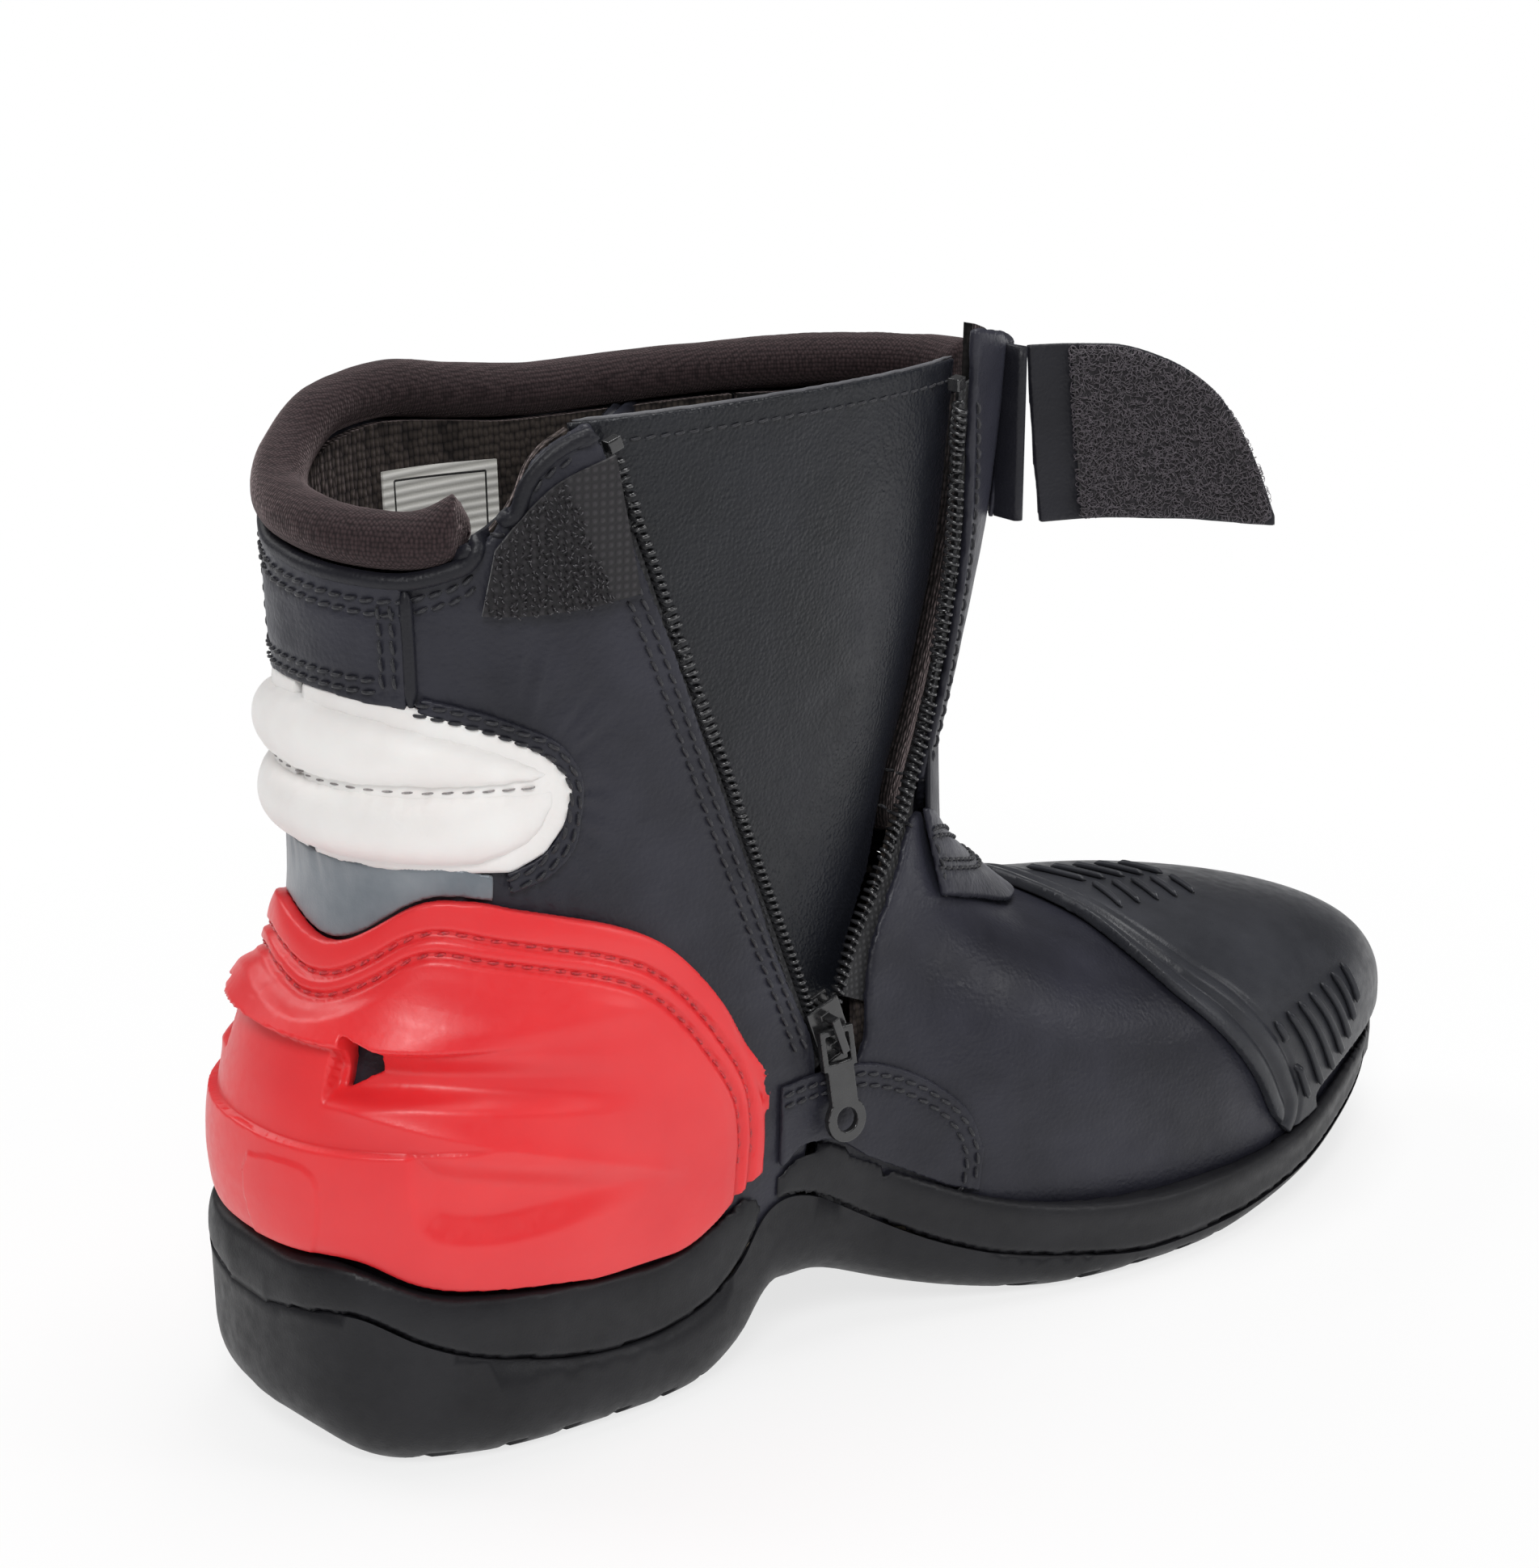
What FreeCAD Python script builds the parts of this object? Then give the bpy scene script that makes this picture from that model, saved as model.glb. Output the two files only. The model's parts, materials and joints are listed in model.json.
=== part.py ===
"""A left motorcycle riding boot: short, side-zipped, heel cup, ankle strap.

Frame, in millimetres: the origin is on the ground under the middle of the heel,
+X runs to the toe, +Y to the outer (lateral) side of the foot and +Z up, so the
zipped inner (medial) side faces -Y.

The upper is described once, as the outer leather surface: a column for heel and
shaft blended into a foot. Every panel, pad and lining is a sheet between two
offsets from that surface, so neighbouring layers never touch.
"""
import FreeCAD
import Part
import math
import os

V = FreeCAD.Vector

# ---- outer leather surface: column -------------------------------------------
COLUMN_Z = [10, 30, 42, 60, 78, 95, 115, 140, 165, 190, 215]
COLUMN_BACK = [-38, -40, -41, -39, -34, -29, -27, -28, -29, -30, -31]
COLUMN_FRONT = [70, 74, 76, 82, 94, 108, 117, 124, 129.5, 132.5, 134.5]
COLUMN_MEDIAL = [36, 38, 38, 38, 37, 36, 36, 37, 38, 39, 40]
COLUMN_LATERAL = [36, 38, 38, 38, 37, 37, 38, 39, 40, 41, 42]
COLUMN_POWER = 2.3
AXIS_X = 28.0               # vertical axis that the heel and shaft wrap around

# ---- outer leather surface: foot ---------------------------------------------
FOOT_X = [0, 30, 60, 90, 112, 138, 165, 190, 215, 252]
FOOT_MEDIAL = [32, 32, 33, 38, 44, 48, 49, 47, 44, 40]
FOOT_LATERAL = [34, 36, 39, 44, 48, 49, 47, 43, 38, 32]
FOOT_TOP = [92, 98, 98, 95, 87, 74, 67.5, 64.5, 61.5, 57]
FOOT_WAIST = [38, 38, 38, 38, 35, 31, 29, 30, 32, 34]
FOOT_DEPTH = 60.0
TOE_START, TOE_END = 168.0, 250.0
HEEL_START, HEEL_END = 65.0, 12.0
PLAN_POWER, SECTION_POWER = 2.3, 2.6
BLEND = 18.0                # how softly the shaft runs into the foot
FIELD_SCALE = 38.0          # half width that turns the two fields into millimetres

# ---- sole --------------------------------------------------------------------
SOLE_X = [-46, -44, -38, -27, -14, 0, 15, 35, 55, 75, 95, 115, 135, 155, 175, 195, 212, 230, 242, 249,
          253, 255]
SOLE_MEDIAL = [6, 17, 27, 35, 39.5, 41, 41.5, 40, 37, 37, 42, 48, 52.5, 54, 52, 48, 42, 33, 23.5, 15,
               8, 1]
SOLE_LATERAL = [6, 17, 27, 35, 40, 42, 43, 43, 43, 45, 49, 53, 55, 55, 52, 46.5, 39, 30, 21, 13.5,
                7.5, 1.5]
FEATHER_X = [-46, -45, -40, -36, -30, -23, -14, -4, 10, 25, 34, 44, 54, 61, 69, 76, 85, 96, 110,
             122, 140, 160, 178, 194, 202, 210, 218, 240, 262]
FEATHER_Z = [38.5, 41.5, 43, 41.5, 38, 36, 35, 34, 32.5, 32.5, 35, 39, 42.5, 45.5, 44, 39, 34, 28, 23,
             20, 17.5, 16.5, 16.5, 18, 19.5, 22, 24, 30, 33]
GROOVE_X = [-46, -45, -38, -34, -29, -20, -9, 4, 18, 32, 42, 47, 53, 61, 67, 75, 85, 95, 109, 124,
            146, 170, 195, 215, 240, 262]
GROOVE_Z = [28, 32, 34, 31, 28, 24, 21, 18, 17, 19, 24, 29, 35.5, 35, 32, 27, 21, 16, 11, 8,
            5, 5.5, 8, 13, 21, 28]
TREAD_X = [-46, -36, 30, 40, 46, 49, 55, 63, 80, 100, 125, 165, 190, 215, 240, 262]
TREAD_Z = [5, -0.5, -0.5, 2.5, 6, 9.5, 14.5, 14.5, 9, 3, -0.5, -0.5, 2.5, 7.5, 15, 24]
FLOOR_X = [-46, 0, 40, 75, 110, 140, 190, 215, 240, 262]
FLOOR_Z = [24, 22, 21.5, 18.5, 12.5, 9.5, 9.8, 13, 19.5, 27]
WIDEST_X, WIDEST_Z = [45, 70, 110], [46, 40, 30]   # above this height the foot hole goes straight up
PLUG_LEVELS = [0, 0.12, 0.24, 0.36, 0.5, 1]
PLUG_STATIONS = [0.003, 0.01, 0.025, 0.05, 0.09, 0.15, 0.23, 0.31, 0.39, 0.47, 0.55, 0.63, 0.7, 0.77,
                 0.83, 0.88, 0.92, 0.95, 0.975, 0.99, 0.997]
SOLE_STATIONS = [-46, -45.6, -44.6, -43, -40, -35, -27, -14, 0, 15, 28, 36, 42, 46, 49, 52, 55, 59,
                 63, 70, 80, 90, 105, 125, 145, 165, 185, 200, 215, 228, 238, 245, 250, 253, 254.6, 255]
WALL_GAP = 0.5              # between the upper and the sole wall
WALL_GAP_ENDS = 0.8         # extra, in front of the toe and behind the heel
BOARD_TOP, FOOTBED_TOP = 3.8, 8.5   # above the sole's floor
HEEL_ROUNDING = [(0.0, 7.0), (0.07, 3.6), (0.2, 1.2), (0.4, 0.2), (0.7, 0.0), (1.0, 0.6)]

# ---- layers, as offsets from the outer leather surface --------------------------
LINING = (-5.4, -3.5)
STIFFENER = (-3.0, -2.4)
LEATHER = (-2.0, 0.0)
OVERLAY = (0.25, 1.8)
TOE_CAP = (0.45, 2.3)
BAND = (0.25, 1.3)
PAD_BASE, PAD_SWELL = 0.3, 5.5
CUP_BASE = 0.6
LOOP_FACE_THICKNESS = 0.9

# ---- collar and free top edge, by angle about the shaft's axis -----------------
COLLAR_PHI = [-204, -190, -170, -150, -120, -90, -65, -45, -28, -12, 0, 12, 24, 33, 39, 46]
COLLAR_Z = [194, 191.5, 190, 189.5, 189, 191, 193.5, 192.5, 187, 181.5, 180, 179, 178.5, 180.5, 184, 190]
COLLAR_RADIUS = 5.4
COLLAR_START, COLLAR_END = -181.0, 37.0
COLLAR_SINK = -2.6
LATERAL_SEAM = -152.0       # seam between lateral quarter and shin panel
FREE_PHI = [46, 49, 54, 60, 66, 76]
FREE_TOP = [184.2, 190.5, 195, 197.5, 199.5, 199.5]

# ---- pads, cup ---------------------------------------------------------------
PAD_TIP_PHI = 54.5
PAD_SEAM_Z = 132.5
PAD_PHI = [0, 11, 20, 26, 34, 43, 51, 54.5]
PAD_TOP = [147.5, 147.2, 145.8, 144, 142, 138.8, 135.4, 133.6]
PAD_BOTTOM = [118, 118, 118, 118, 118, 119.8, 124, 129]
CUP_PHI = [-119, -118, -115, -108, -97, -84, -69, -56, -42, -30, -20, -12, -6, 0, 5, 10, 16, 22, 28, 34, 42,
           56, 69, 84, 97, 108, 115, 118, 119]
CUP_TOP = [48, 55, 66, 77, 86, 92.5, 96, 97.5, 98, 99.5, 102.5, 104, 103.2, 101.6, 100.9, 101.8, 105, 109, 111,
           110.8, 109, 106, 103, 98, 90, 79, 67, 55, 48]
CUP_END_PHI = 117.5
CUP_RIM, CUP_SWELL = 3.0, 3.4
CUP_WINDOW = [(15.5, 85), (22.5, 82.2), (22.5, 78.8), (15.5, 74.8)]

# ---- zip ---------------------------------------------------------------------
CHAIN_LOW = (69.1, 62.0)            # rear chain, x and height of its lower end
CHAIN_HIGH = (16.5, 193.0)
COIL_LEVEL = -2.0                   # coil's centre line, under the leather surface
TAPE_N = -1.1                       # tape's inner face, from the coil's centre line
FRONT_MESH = 2.8                    # front coil beside the rear coil where they mesh
SLIDER_REST = 6.8
SLIDER_SHIFT = 1.5
LOOP_HEIGHT = 3.2
PULL_HOLE = 5.0
PULL_LEAN = 0.17
LINING_GAP = 7.8
GUSSET_DEPTH = -5.9
FRONT_CHAIN_X = [71, 76, 82, 89, 96, 101, 104, 106, 107, 106, 104]
FRONT_CHAIN_Z = [75, 84, 91, 99, 107, 116, 127, 142, 160, 176, 193]
COIL_WIDTH, COIL_HEIGHT = 2.6, 2.2
TAPE_THICKNESS = 0.7
TAPE_REACH = 11.0
STOP = (2.6, 3.0, 2.6)
LOW_STOP = (2.8, 5.4, 2.4)
CHAIN_GAP = 3.3             # from chain line to the leather edge beside it
SLIDER_LENGTH, SLIDER_WIDTH = 12.5, 8.0
PLATE = 1.0
CHANNEL = 2.9               # clear height between the slider's plates
PULL_LENGTH, PULL_WIDTH, PULL_THICKNESS = 24.0, 9.4, 1.5
PULL_HEAD, PULL_NECK = 8.2, 6.4

# ---- strap -------------------------------------------------------------------
STRAP_ROOT_PHI = 168.0
STRAP_TIP_PHI = 141.0
STRAP_LOW, STRAP_HIGH = 163.0, 199.0
STRAP_PHI = [141, 144.5, 149, 154, 159, 168]
STRAP_TOP = [163, 177.6, 189.5, 195.5, 198.5, 199]
STRAP_BOTTOM = [160.8, 161.2, 161.8, 162.3, 162.7, 163]
STRAP_LAYER = (3.4, 5.0)
STRAP_PIVOT = (125.1, -23.6)
STRAP_OPEN = 131.0          # degrees from lying over the zip to the open rest pose


# ---- small helpers -------------------------------------------------------------
def curve(xs, ys, x):
    """Smooth value at x through the points (xs, ys), without overshoot."""
    if x <= xs[0]:
        return ys[0]
    if x >= xs[-1]:
        return ys[-1]
    i = 0
    while xs[i + 1] < x:
        i += 1

    def slope(k):
        return (ys[k + 1] - ys[k]) / (xs[k + 1] - xs[k])

    def tangent(k):
        if k == 0:
            return slope(0)
        if k == len(xs) - 1:
            return slope(k - 1)
        before, after = slope(k - 1), slope(k)
        if before * after <= 0:
            return 0.0
        h0, h1 = xs[k] - xs[k - 1], xs[k + 1] - xs[k]
        w0, w1 = 2 * h1 + h0, h1 + 2 * h0
        return (w0 + w1) / (w0 / before + w1 / after)

    h = xs[i + 1] - xs[i]
    t = (x - xs[i]) / h
    return ((2 * t**3 - 3 * t**2 + 1) * ys[i] + (t**3 - 2 * t**2 + t) * h * tangent(i)
            + (3 * t**2 - 2 * t**3) * ys[i + 1] + (t**3 - t**2) * h * tangent(i + 1))


def column(x, y, z):
    back = curve(COLUMN_Z, COLUMN_BACK, z)
    front = curve(COLUMN_Z, COLUMN_FRONT, z)
    middle = 0.55 * back + 0.45 * front
    length = front - middle if x > middle else middle - back
    width = curve(COLUMN_Z, COLUMN_LATERAL if y > 0 else COLUMN_MEDIAL, z)
    return ((abs(x - middle) / length)**COLUMN_POWER + (abs(y) / width)**COLUMN_POWER)**(1 / COLUMN_POWER) - 1


def foot(x, y, z):
    medial, lateral = curve(FOOT_X, FOOT_MEDIAL, x), curve(FOOT_X, FOOT_LATERAL, x)
    middle, half = (lateral - medial) / 2, (lateral + medial) / 2
    top, waist = curve(FOOT_X, FOOT_TOP, x), curve(FOOT_X, FOOT_WAIST, x)
    ends = max((x - TOE_START) / (TOE_END - TOE_START), (HEEL_START - x) / (HEEL_START - HEEL_END), 0.0)
    plan = ((abs(y - middle) / half)**PLAN_POWER + ends**PLAN_POWER)**(1 / PLAN_POWER)
    height = top - waist if z > waist else FOOT_DEPTH
    return (plan**SECTION_POWER + (abs(z - waist) / height)**SECTION_POWER)**(1 / SECTION_POWER) - 1


def skin(x, y, z):
    """Signed field of the outer leather surface: negative inside the boot."""
    a, b = FIELD_SCALE * column(x, y, z), FIELD_SCALE * foot(x, y, z)
    h = max(BLEND - abs(a - b), 0.0) / BLEND
    return min(a, b) - h * h * BLEND / 4


def hit(start, direction, reach=260.0):
    """Point where the ray from inside the boot leaves the outer leather surface."""
    low, high = 0.0, reach
    for _ in range(26):
        mid = (low + high) / 2
        p = start + direction * mid
        if skin(p.x, p.y, p.z) < 0:
            low = mid
        else:
            high = mid
    return start + direction * low


def outward(p):
    e = 0.5
    g = V(skin(p.x + e, p.y, p.z) - skin(p.x - e, p.y, p.z),
          skin(p.x, p.y + e, p.z) - skin(p.x, p.y - e, p.z),
          skin(p.x, p.y, p.z + e) - skin(p.x, p.y, p.z - e))
    return g.normalize()


def around(phi, z):
    """Surface point at angle phi about the shaft's axis: 0 back, 90 medial, 180 front."""
    a = math.radians(phi)
    return hit(V(AXIS_X, 0, z), V(-math.cos(a), -math.sin(a), 0))


def beside(x, z):
    """Surface point on the medial side at x and height z."""
    return hit(V(x, 0, z), V(0, -1, 0))


def over(q):
    """Surface point on the ray from the foot's spine through q."""
    spine = V(min(q.x, 176 + 20 * math.tanh(max(q.x - 176, 0) / 20)), -3, 32)
    return hit(spine, (q - spine).normalize())


def phi_of(p):
    return math.degrees(math.atan2(-p.y, AXIS_X - p.x))


def along(points, t):
    """Point at fraction t of a list of chart or space points, smooth through them."""
    knots = [i / (len(points) - 1) for i in range(len(points))]
    return tuple(curve(knots, [p[k] for p in points], t) for k in range(len(points[0])))


def fractions(n):
    return [i / (n - 1) for i in range(n)]


def resampled(points, count):
    """The given number of points, evenly spread along a list of points."""
    return [along(points, t) for t in fractions(count)]


# ---- solids ----------------------------------------------------------------------
def face_and_edges(points):
    surface = Part.BSplineSurface()
    surface.interpolate(points)
    u0, u1, v0, v1 = surface.bounds()
    edges = [surface.uIso(u0), surface.uIso(u1), surface.vIso(v0), surface.vIso(v1)]
    return surface.toShape(), [e.toShape() for e in edges]


def sheet(outer, inner):
    """Solid between two grids of points with the same rows and columns."""
    top, top_edges = face_and_edges(outer)
    bottom, bottom_edges = face_and_edges(inner)
    sides = [Part.makeRuledSurface(a, b) for a, b in zip(top_edges, bottom_edges)]
    shell = Part.Compound([top, bottom] + sides)
    shell.sewShape()
    solid = Part.Solid(Part.Shell(shell.Faces))
    if solid.Volume < 0:
        solid.reverse()
    return solid


def layer(points, low, high):
    """Solid sheet over surface points, from offset low to offset high.

    Each offset is a number, or a function of the row and column fractions."""
    rows, columns = len(points), len(points[0])
    normals = [[outward(p) for p in row] for row in points]

    def shifted(offset):
        grid = []
        for i, row in enumerate(points):
            line = []
            for j, p in enumerate(row):
                d = offset(i / (rows - 1), j / (columns - 1)) if callable(offset) else offset
                line.append(p + normals[i][j] * d)
            grid.append(line)
        return grid

    return sheet(shifted(high), shifted(low))


def between(chart, first, last, rows, columns):
    """Grid of surface points between two outline curves given in a chart."""
    grid = []
    for t in fractions(columns):
        a, b = along(first, t), along(last, t)
        grid.append([chart(*[m + (n - m) * s for m, n in zip(a, b)]) for s in fractions(rows)])
    return grid


def tube(path, radius_a, radius_b, up):
    """Closed tube of elliptical section along a list of points."""
    wires = []
    for i, p in enumerate(path):
        ahead = path[min(i + 1, len(path) - 1)] - path[max(i - 1, 0)]
        ahead.normalize()
        side = ahead.cross(up(p)).normalize()
        lift = side.cross(ahead).normalize()
        ring = [p + side * (radius_a * math.cos(a)) + lift * (radius_b * math.sin(a))
                for a in [2 * math.pi * k / 12 for k in range(12)]]
        loop = Part.BSplineCurve()
        loop.interpolate(ring, PeriodicFlag=True)
        wires.append(Part.Wire([loop.toShape()]))
    return Part.makeLoft(wires, True)


def block(centre, along_dir, across_dir, out_dir, size):
    """Box centred on a point, with its sides along three given directions."""
    box = Part.makeBox(size[0], size[1], size[2], V(-size[0] / 2, -size[1] / 2, -size[2] / 2))
    place = FreeCAD.Matrix(along_dir.x, across_dir.x, out_dir.x, centre.x,
                           along_dir.y, across_dir.y, out_dir.y, centre.y,
                           along_dir.z, across_dir.z, out_dir.z, centre.z,
                           0, 0, 0, 1)
    return box.transformGeometry(place)


# ---- sole pieces -----------------------------------------------------------------
def sole_rows(heights, x_list):
    """Wall points on both sides; heights gives (z, rounding) pairs at each x."""
    medial, lateral = [], []
    for x in x_list:
        row_m, row_l = [], []
        for z, shrink in heights(x):
            centre = (SOLE_X[0] + SOLE_X[-1]) / 2
            half = (SOLE_X[-1] - SOLE_X[0]) / 2
            xs = centre + (x - centre) * (half - shrink) / half
            m = curve(SOLE_X, SOLE_MEDIAL, x) - shrink
            l = curve(SOLE_X, SOLE_LATERAL, x) - shrink
            middle = (l - m) / 2
            half_width = max((l + m) / 2, 0.6)
            row_m.append(V(xs, middle - half_width, z))
            row_l.append(V(xs, middle + half_width, z))
        medial.append(row_m)
        lateral.append(row_l)
    return medial, lateral


def sole_block():
    def heights(x):
        low, high = curve(TREAD_X, TREAD_Z, x), curve(FEATHER_X, FEATHER_Z, x)
        return [(low + (high - low) * f, tuck) for f, tuck in HEEL_ROUNDING]
    block_shape = sheet(*sole_rows(heights, SOLE_STATIONS))
    ground = Part.makeBox(400, 200, 20, V(-100, -100, -20))
    return block_shape.cut(ground)


def foot_plug(low, high, offset, ends=0.0):
    """Solid with the upper's own plan outline, between two heights given by x."""
    medial, lateral = [], []
    for f in PLUG_STATIONS:
        row_m, row_l = [], []
        for g in PLUG_LEVELS:
            guess = -35 + 280 * f
            z = low(guess) + (high(guess) - low(guess)) * g
            side_z = min(z, curve(WIDEST_X, WIDEST_Z, guess))
            back = hit(V(40, 0, side_z), V(-1, 0, 0)).x
            toe = hit(V(170, -4, side_z), V(1, 0, 0)).x
            x = back + (toe - back) * f
            stretch = ends * (2 * f - 1)**5
            middle = (curve(FOOT_X, FOOT_LATERAL, x) - curve(FOOT_X, FOOT_MEDIAL, x)) / 2
            for row, way in ((row_m, -1), (row_l, 1)):
                p = hit(V(x, middle, side_z), V(0, way, 0))
                q = p + outward(p) * offset
                row.append(V(q.x + stretch, q.y, z))
        medial.append(row_m)
        lateral.append(row_l)
    return sheet(medial, lateral)


def under(xs, zs, shift, low):
    """Wide prism of everything below the profile (xs, zs), down to height low."""
    points = [V(x, -90, curve(xs, zs, x) + shift) for x in range(-60, 281, 5)]
    top = Part.BSplineCurve()
    top.interpolate(points)
    a, b = V(-60, -90, low), V(280, -90, low)
    outline = Part.Wire([top.toShape(), Part.makeLine(points[-1], b), Part.makeLine(b, a),
                         Part.makeLine(a, points[0])])
    return Part.Face(outline).extrude(V(0, 180, 0))


def floor_at(x):
    return curve(FLOOR_X, FLOOR_Z, x)


def feather_at(x):
    return curve(FEATHER_X, FEATHER_Z, x)


def outsole(body, hole):
    return body.common(under(GROOVE_X, GROOVE_Z, -0.1, -20)).cut(hole)


def midsole(body, hole):
    return body.cut(under(GROOVE_X, GROOVE_Z, 0.1, -20)).cut(hole)


def shank():
    """Steel strip under the arch, lying in the sole's floor."""
    faces = []
    for lift in (1.4, 0.3):
        faces.append([[V(x, y, floor_at(x) + lift) for y in (-8, -4, 0, 4, 8)] for x in range(0, 116, 8)])
    return sheet(*faces)


def insole_board():
    return foot_plug(lambda x: floor_at(x) + 1.8, lambda x: floor_at(x) + BOARD_TOP, -0.6)


def footbed():
    return foot_plug(lambda x: floor_at(x) + BOARD_TOP + 0.3, lambda x: floor_at(x) + FOOTBED_TOP,
                     LINING[0] - 1.2)


# ---- outlines of the upper, as chart values ----------------------------------------
def chain_x(z):
    """Rear chain's x at height z."""
    t = (z - CHAIN_LOW[1]) / (CHAIN_HIGH[1] - CHAIN_LOW[1])
    return CHAIN_LOW[0] + (CHAIN_HIGH[0] - CHAIN_LOW[0]) * t


def front_x(z):
    """Front chain's x at height z, while the shaft stands open."""
    return curve(FRONT_CHAIN_Z, FRONT_CHAIN_X, z)


def rear_edge(gap):
    """Angle of the line that runs a given gap behind the rear chain, by height."""
    zs = [24, 45, 62, 80, 100, 120, 140, 160, 180, 200]
    return zs, [phi_of(beside(chain_x(max(z, 58)) - gap / 0.93 - max(58 - z, 0) * 0.28
                        - 0.9 * max(min((86 - z) / 10, 1), 0), z)) for z in zs]


def front_edge(gap):
    zs = [80, 95, 105, 115, 125, 140, 160, 180, 206]
    slant = [0.8, 0.75, 0.8, 0.9, 0.95, 1, 1, 1, 1]
    return zs, [phi_of(beside(front_x(z) + gap / k, z)) for z, k in zip(zs, slant)]


def wrap(phi_a, phi_b, z_low, z_high, rows, columns):
    """Grid over the shaft between two side edges (angle by height) and two ends (height by angle)."""
    grid = []
    for s in fractions(rows):
        line = []
        for t in fractions(columns):
            z = 100.0               # settles on the height that its own angle asks for
            for _ in range(5):
                phi = phi_a(z) + (phi_b(z) - phi_a(z)) * s
                z = z_low(phi) + (z_high(phi) - z_low(phi)) * t
            line.append(around(phi, z))
        grid.append(line)
    return grid


def level(value):
    return lambda _: value


def by(xs, ys):
    return lambda value: curve(xs, ys, value)


def both_sides(phis, zs):
    """Height by angle, the same on the medial and lateral side."""
    return lambda phi: curve(phis, zs, abs(phi))


def top_edge(phi):
    """Upper edge of the leather, just under the collar, or free beside the zip."""
    if phi > COLLAR_PHI[-1]:
        return curve(FREE_PHI, FREE_TOP, phi)
    return curve(COLLAR_PHI, COLLAR_Z, phi) - COLLAR_RADIUS - 0.4


def throat():
    """Line where the vamp meets shin panel and quarters, medial to lateral."""
    medial = [(64, 28), (66, 44), (71, 54), (77.5, 62), (78.5, 72), (82, 84), (88.5, 92), (96.5, 101),
              (104, 105)]
    middle = [(117, -19, 97), (127, -10, 90), (131, 0, 87), (127, 10, 90), (117, 19, 97)]
    lateral = [(106, 100), (90, 83), (75, 64), (67, 45), (63, 28)]
    points = [tuple(beside(x, z)) for x, z in medial] + middle
    return points + [tuple(hit(V(x, 0, z), V(0, 1, 0))) for x, z in lateral]


def coons(low, high, left, right, rows, columns, project):
    """Grid over the surface inside four outline curves that share their corners."""
    grid = []
    for s in fractions(rows):
        line = []
        for t in fractions(columns):
            ends = ((low, s), (high, s), (left, t), (right, t))
            a, b, c, d = (V(*along(edge, k)) for edge, k in ends)
            corners = (V(*low[0]) * ((1 - s) * (1 - t)) + V(*low[-1]) * (s * (1 - t))
                       + V(*high[0]) * ((1 - s) * t) + V(*high[-1]) * (s * t))
            line.append(project(a * (1 - t) + b * t + c * (1 - s) + d * s - corners))
        grid.append(line)
    return grid


def from_axis(x_axis):
    """Projection on to the surface, level and away from a vertical axis at x."""
    def project(q):
        start = V(x_axis, 0, q.z)
        return hit(start, (q - start).normalize())
    return project


def on_wrap(edge, zs):
    return [tuple(around(edge(z), z)) for z in zs]


def on_top(phis):
    return [tuple(around(phi, top_edge(phi))) for phi in phis]


def welt(xs, lift, toe_angles):
    """Points on the surface near the sole: medial from back to toe, round, lateral back."""
    def wall(x, way):
        return tuple(hit(V(x, -2, lift(x)), V(0, way, 0)))

    def nose(angle):
        a = math.radians(angle)
        return tuple(hit(V(178, -3, lift(178 + 70 * math.cos(a))), V(math.cos(a), math.sin(a), 0)))

    return ([wall(x, -1) for x in xs] + [nose(a) for a in toe_angles] + [wall(x, 1) for x in reversed(xs)])


def horseshoe(inner, outer, rows, columns):
    """Grid over the foot between an inner line and the outer line round the toe."""
    grid = []
    for s in fractions(rows):
        line = []
        for t in fractions(columns):
            a, b = V(*along(inner, t)), V(*along(outer, t))
            line.append(over(a + (b - a) * s))
        grid.append(line)
    return grid


# ---- upper pieces ---------------------------------------------------------------------
def lasted_edge(x):
    return floor_at(x) + BOARD_TOP + 0.4


def vamp_grid(rows=16, columns=51):
    outer = welt([67, 71, 76, 82, 89, 97, 108, 124, 146], lasted_edge, [-62, -30, 0, 30, 62])
    return horseshoe(resampled(throat(), 23), outer, rows, columns)


def toe_cap_grid(rows=9, columns=33):
    edge = [(184, -50, 24), (177, -51, 36), (167, -48, 49), (158, -42, 59), (152, -28, 69), (151, 0, 73),
            (153, 26, 68), (158, 40, 58), (167, 46, 47), (177, 46, 34), (185, 44, 24)]
    rim = welt([190, 202], lambda x: feather_at(x) + 0.9, [-60, -40, -20, 0, 20, 40, 60])
    return horseshoe(edge, resampled(rim, 11), rows, columns)


def toe_puff_grid(rows=7, columns=25):
    edge = [(206, -42, 30), (205, -36, 48), (203, -22, 58), (202, 0, 62), (203, 22, 56), (205, 34, 44),
            (206, 38, 30)]
    rim = welt([211], lasted_edge, [-50, -25, 0, 25, 50])
    return horseshoe(edge, rim, rows, columns)


def quarter_grid(gap, back_phi, rows=26, columns=18):
    """Medial side, from the back seam to a line beside the rear chain."""
    edge = by(*rear_edge(gap))
    front_phi = edge(198)
    low = [tuple(around(phi, 29)) for phi in (back_phi, 30, 60, 90, edge(29))]
    high = on_top([back_phi, 12, 24, 33, 40, 44, 47, 50, 54, 60, front_phi - 0.01])
    left = on_wrap(level(back_phi), [29, 70, 120, top_edge(back_phi)])
    right = on_wrap(edge, [29, 45, 58, 66, 80, 110, 150, top_edge(front_phi)])
    return coons(low, high, left, right, rows, columns, from_axis(AXIS_X))


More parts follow.
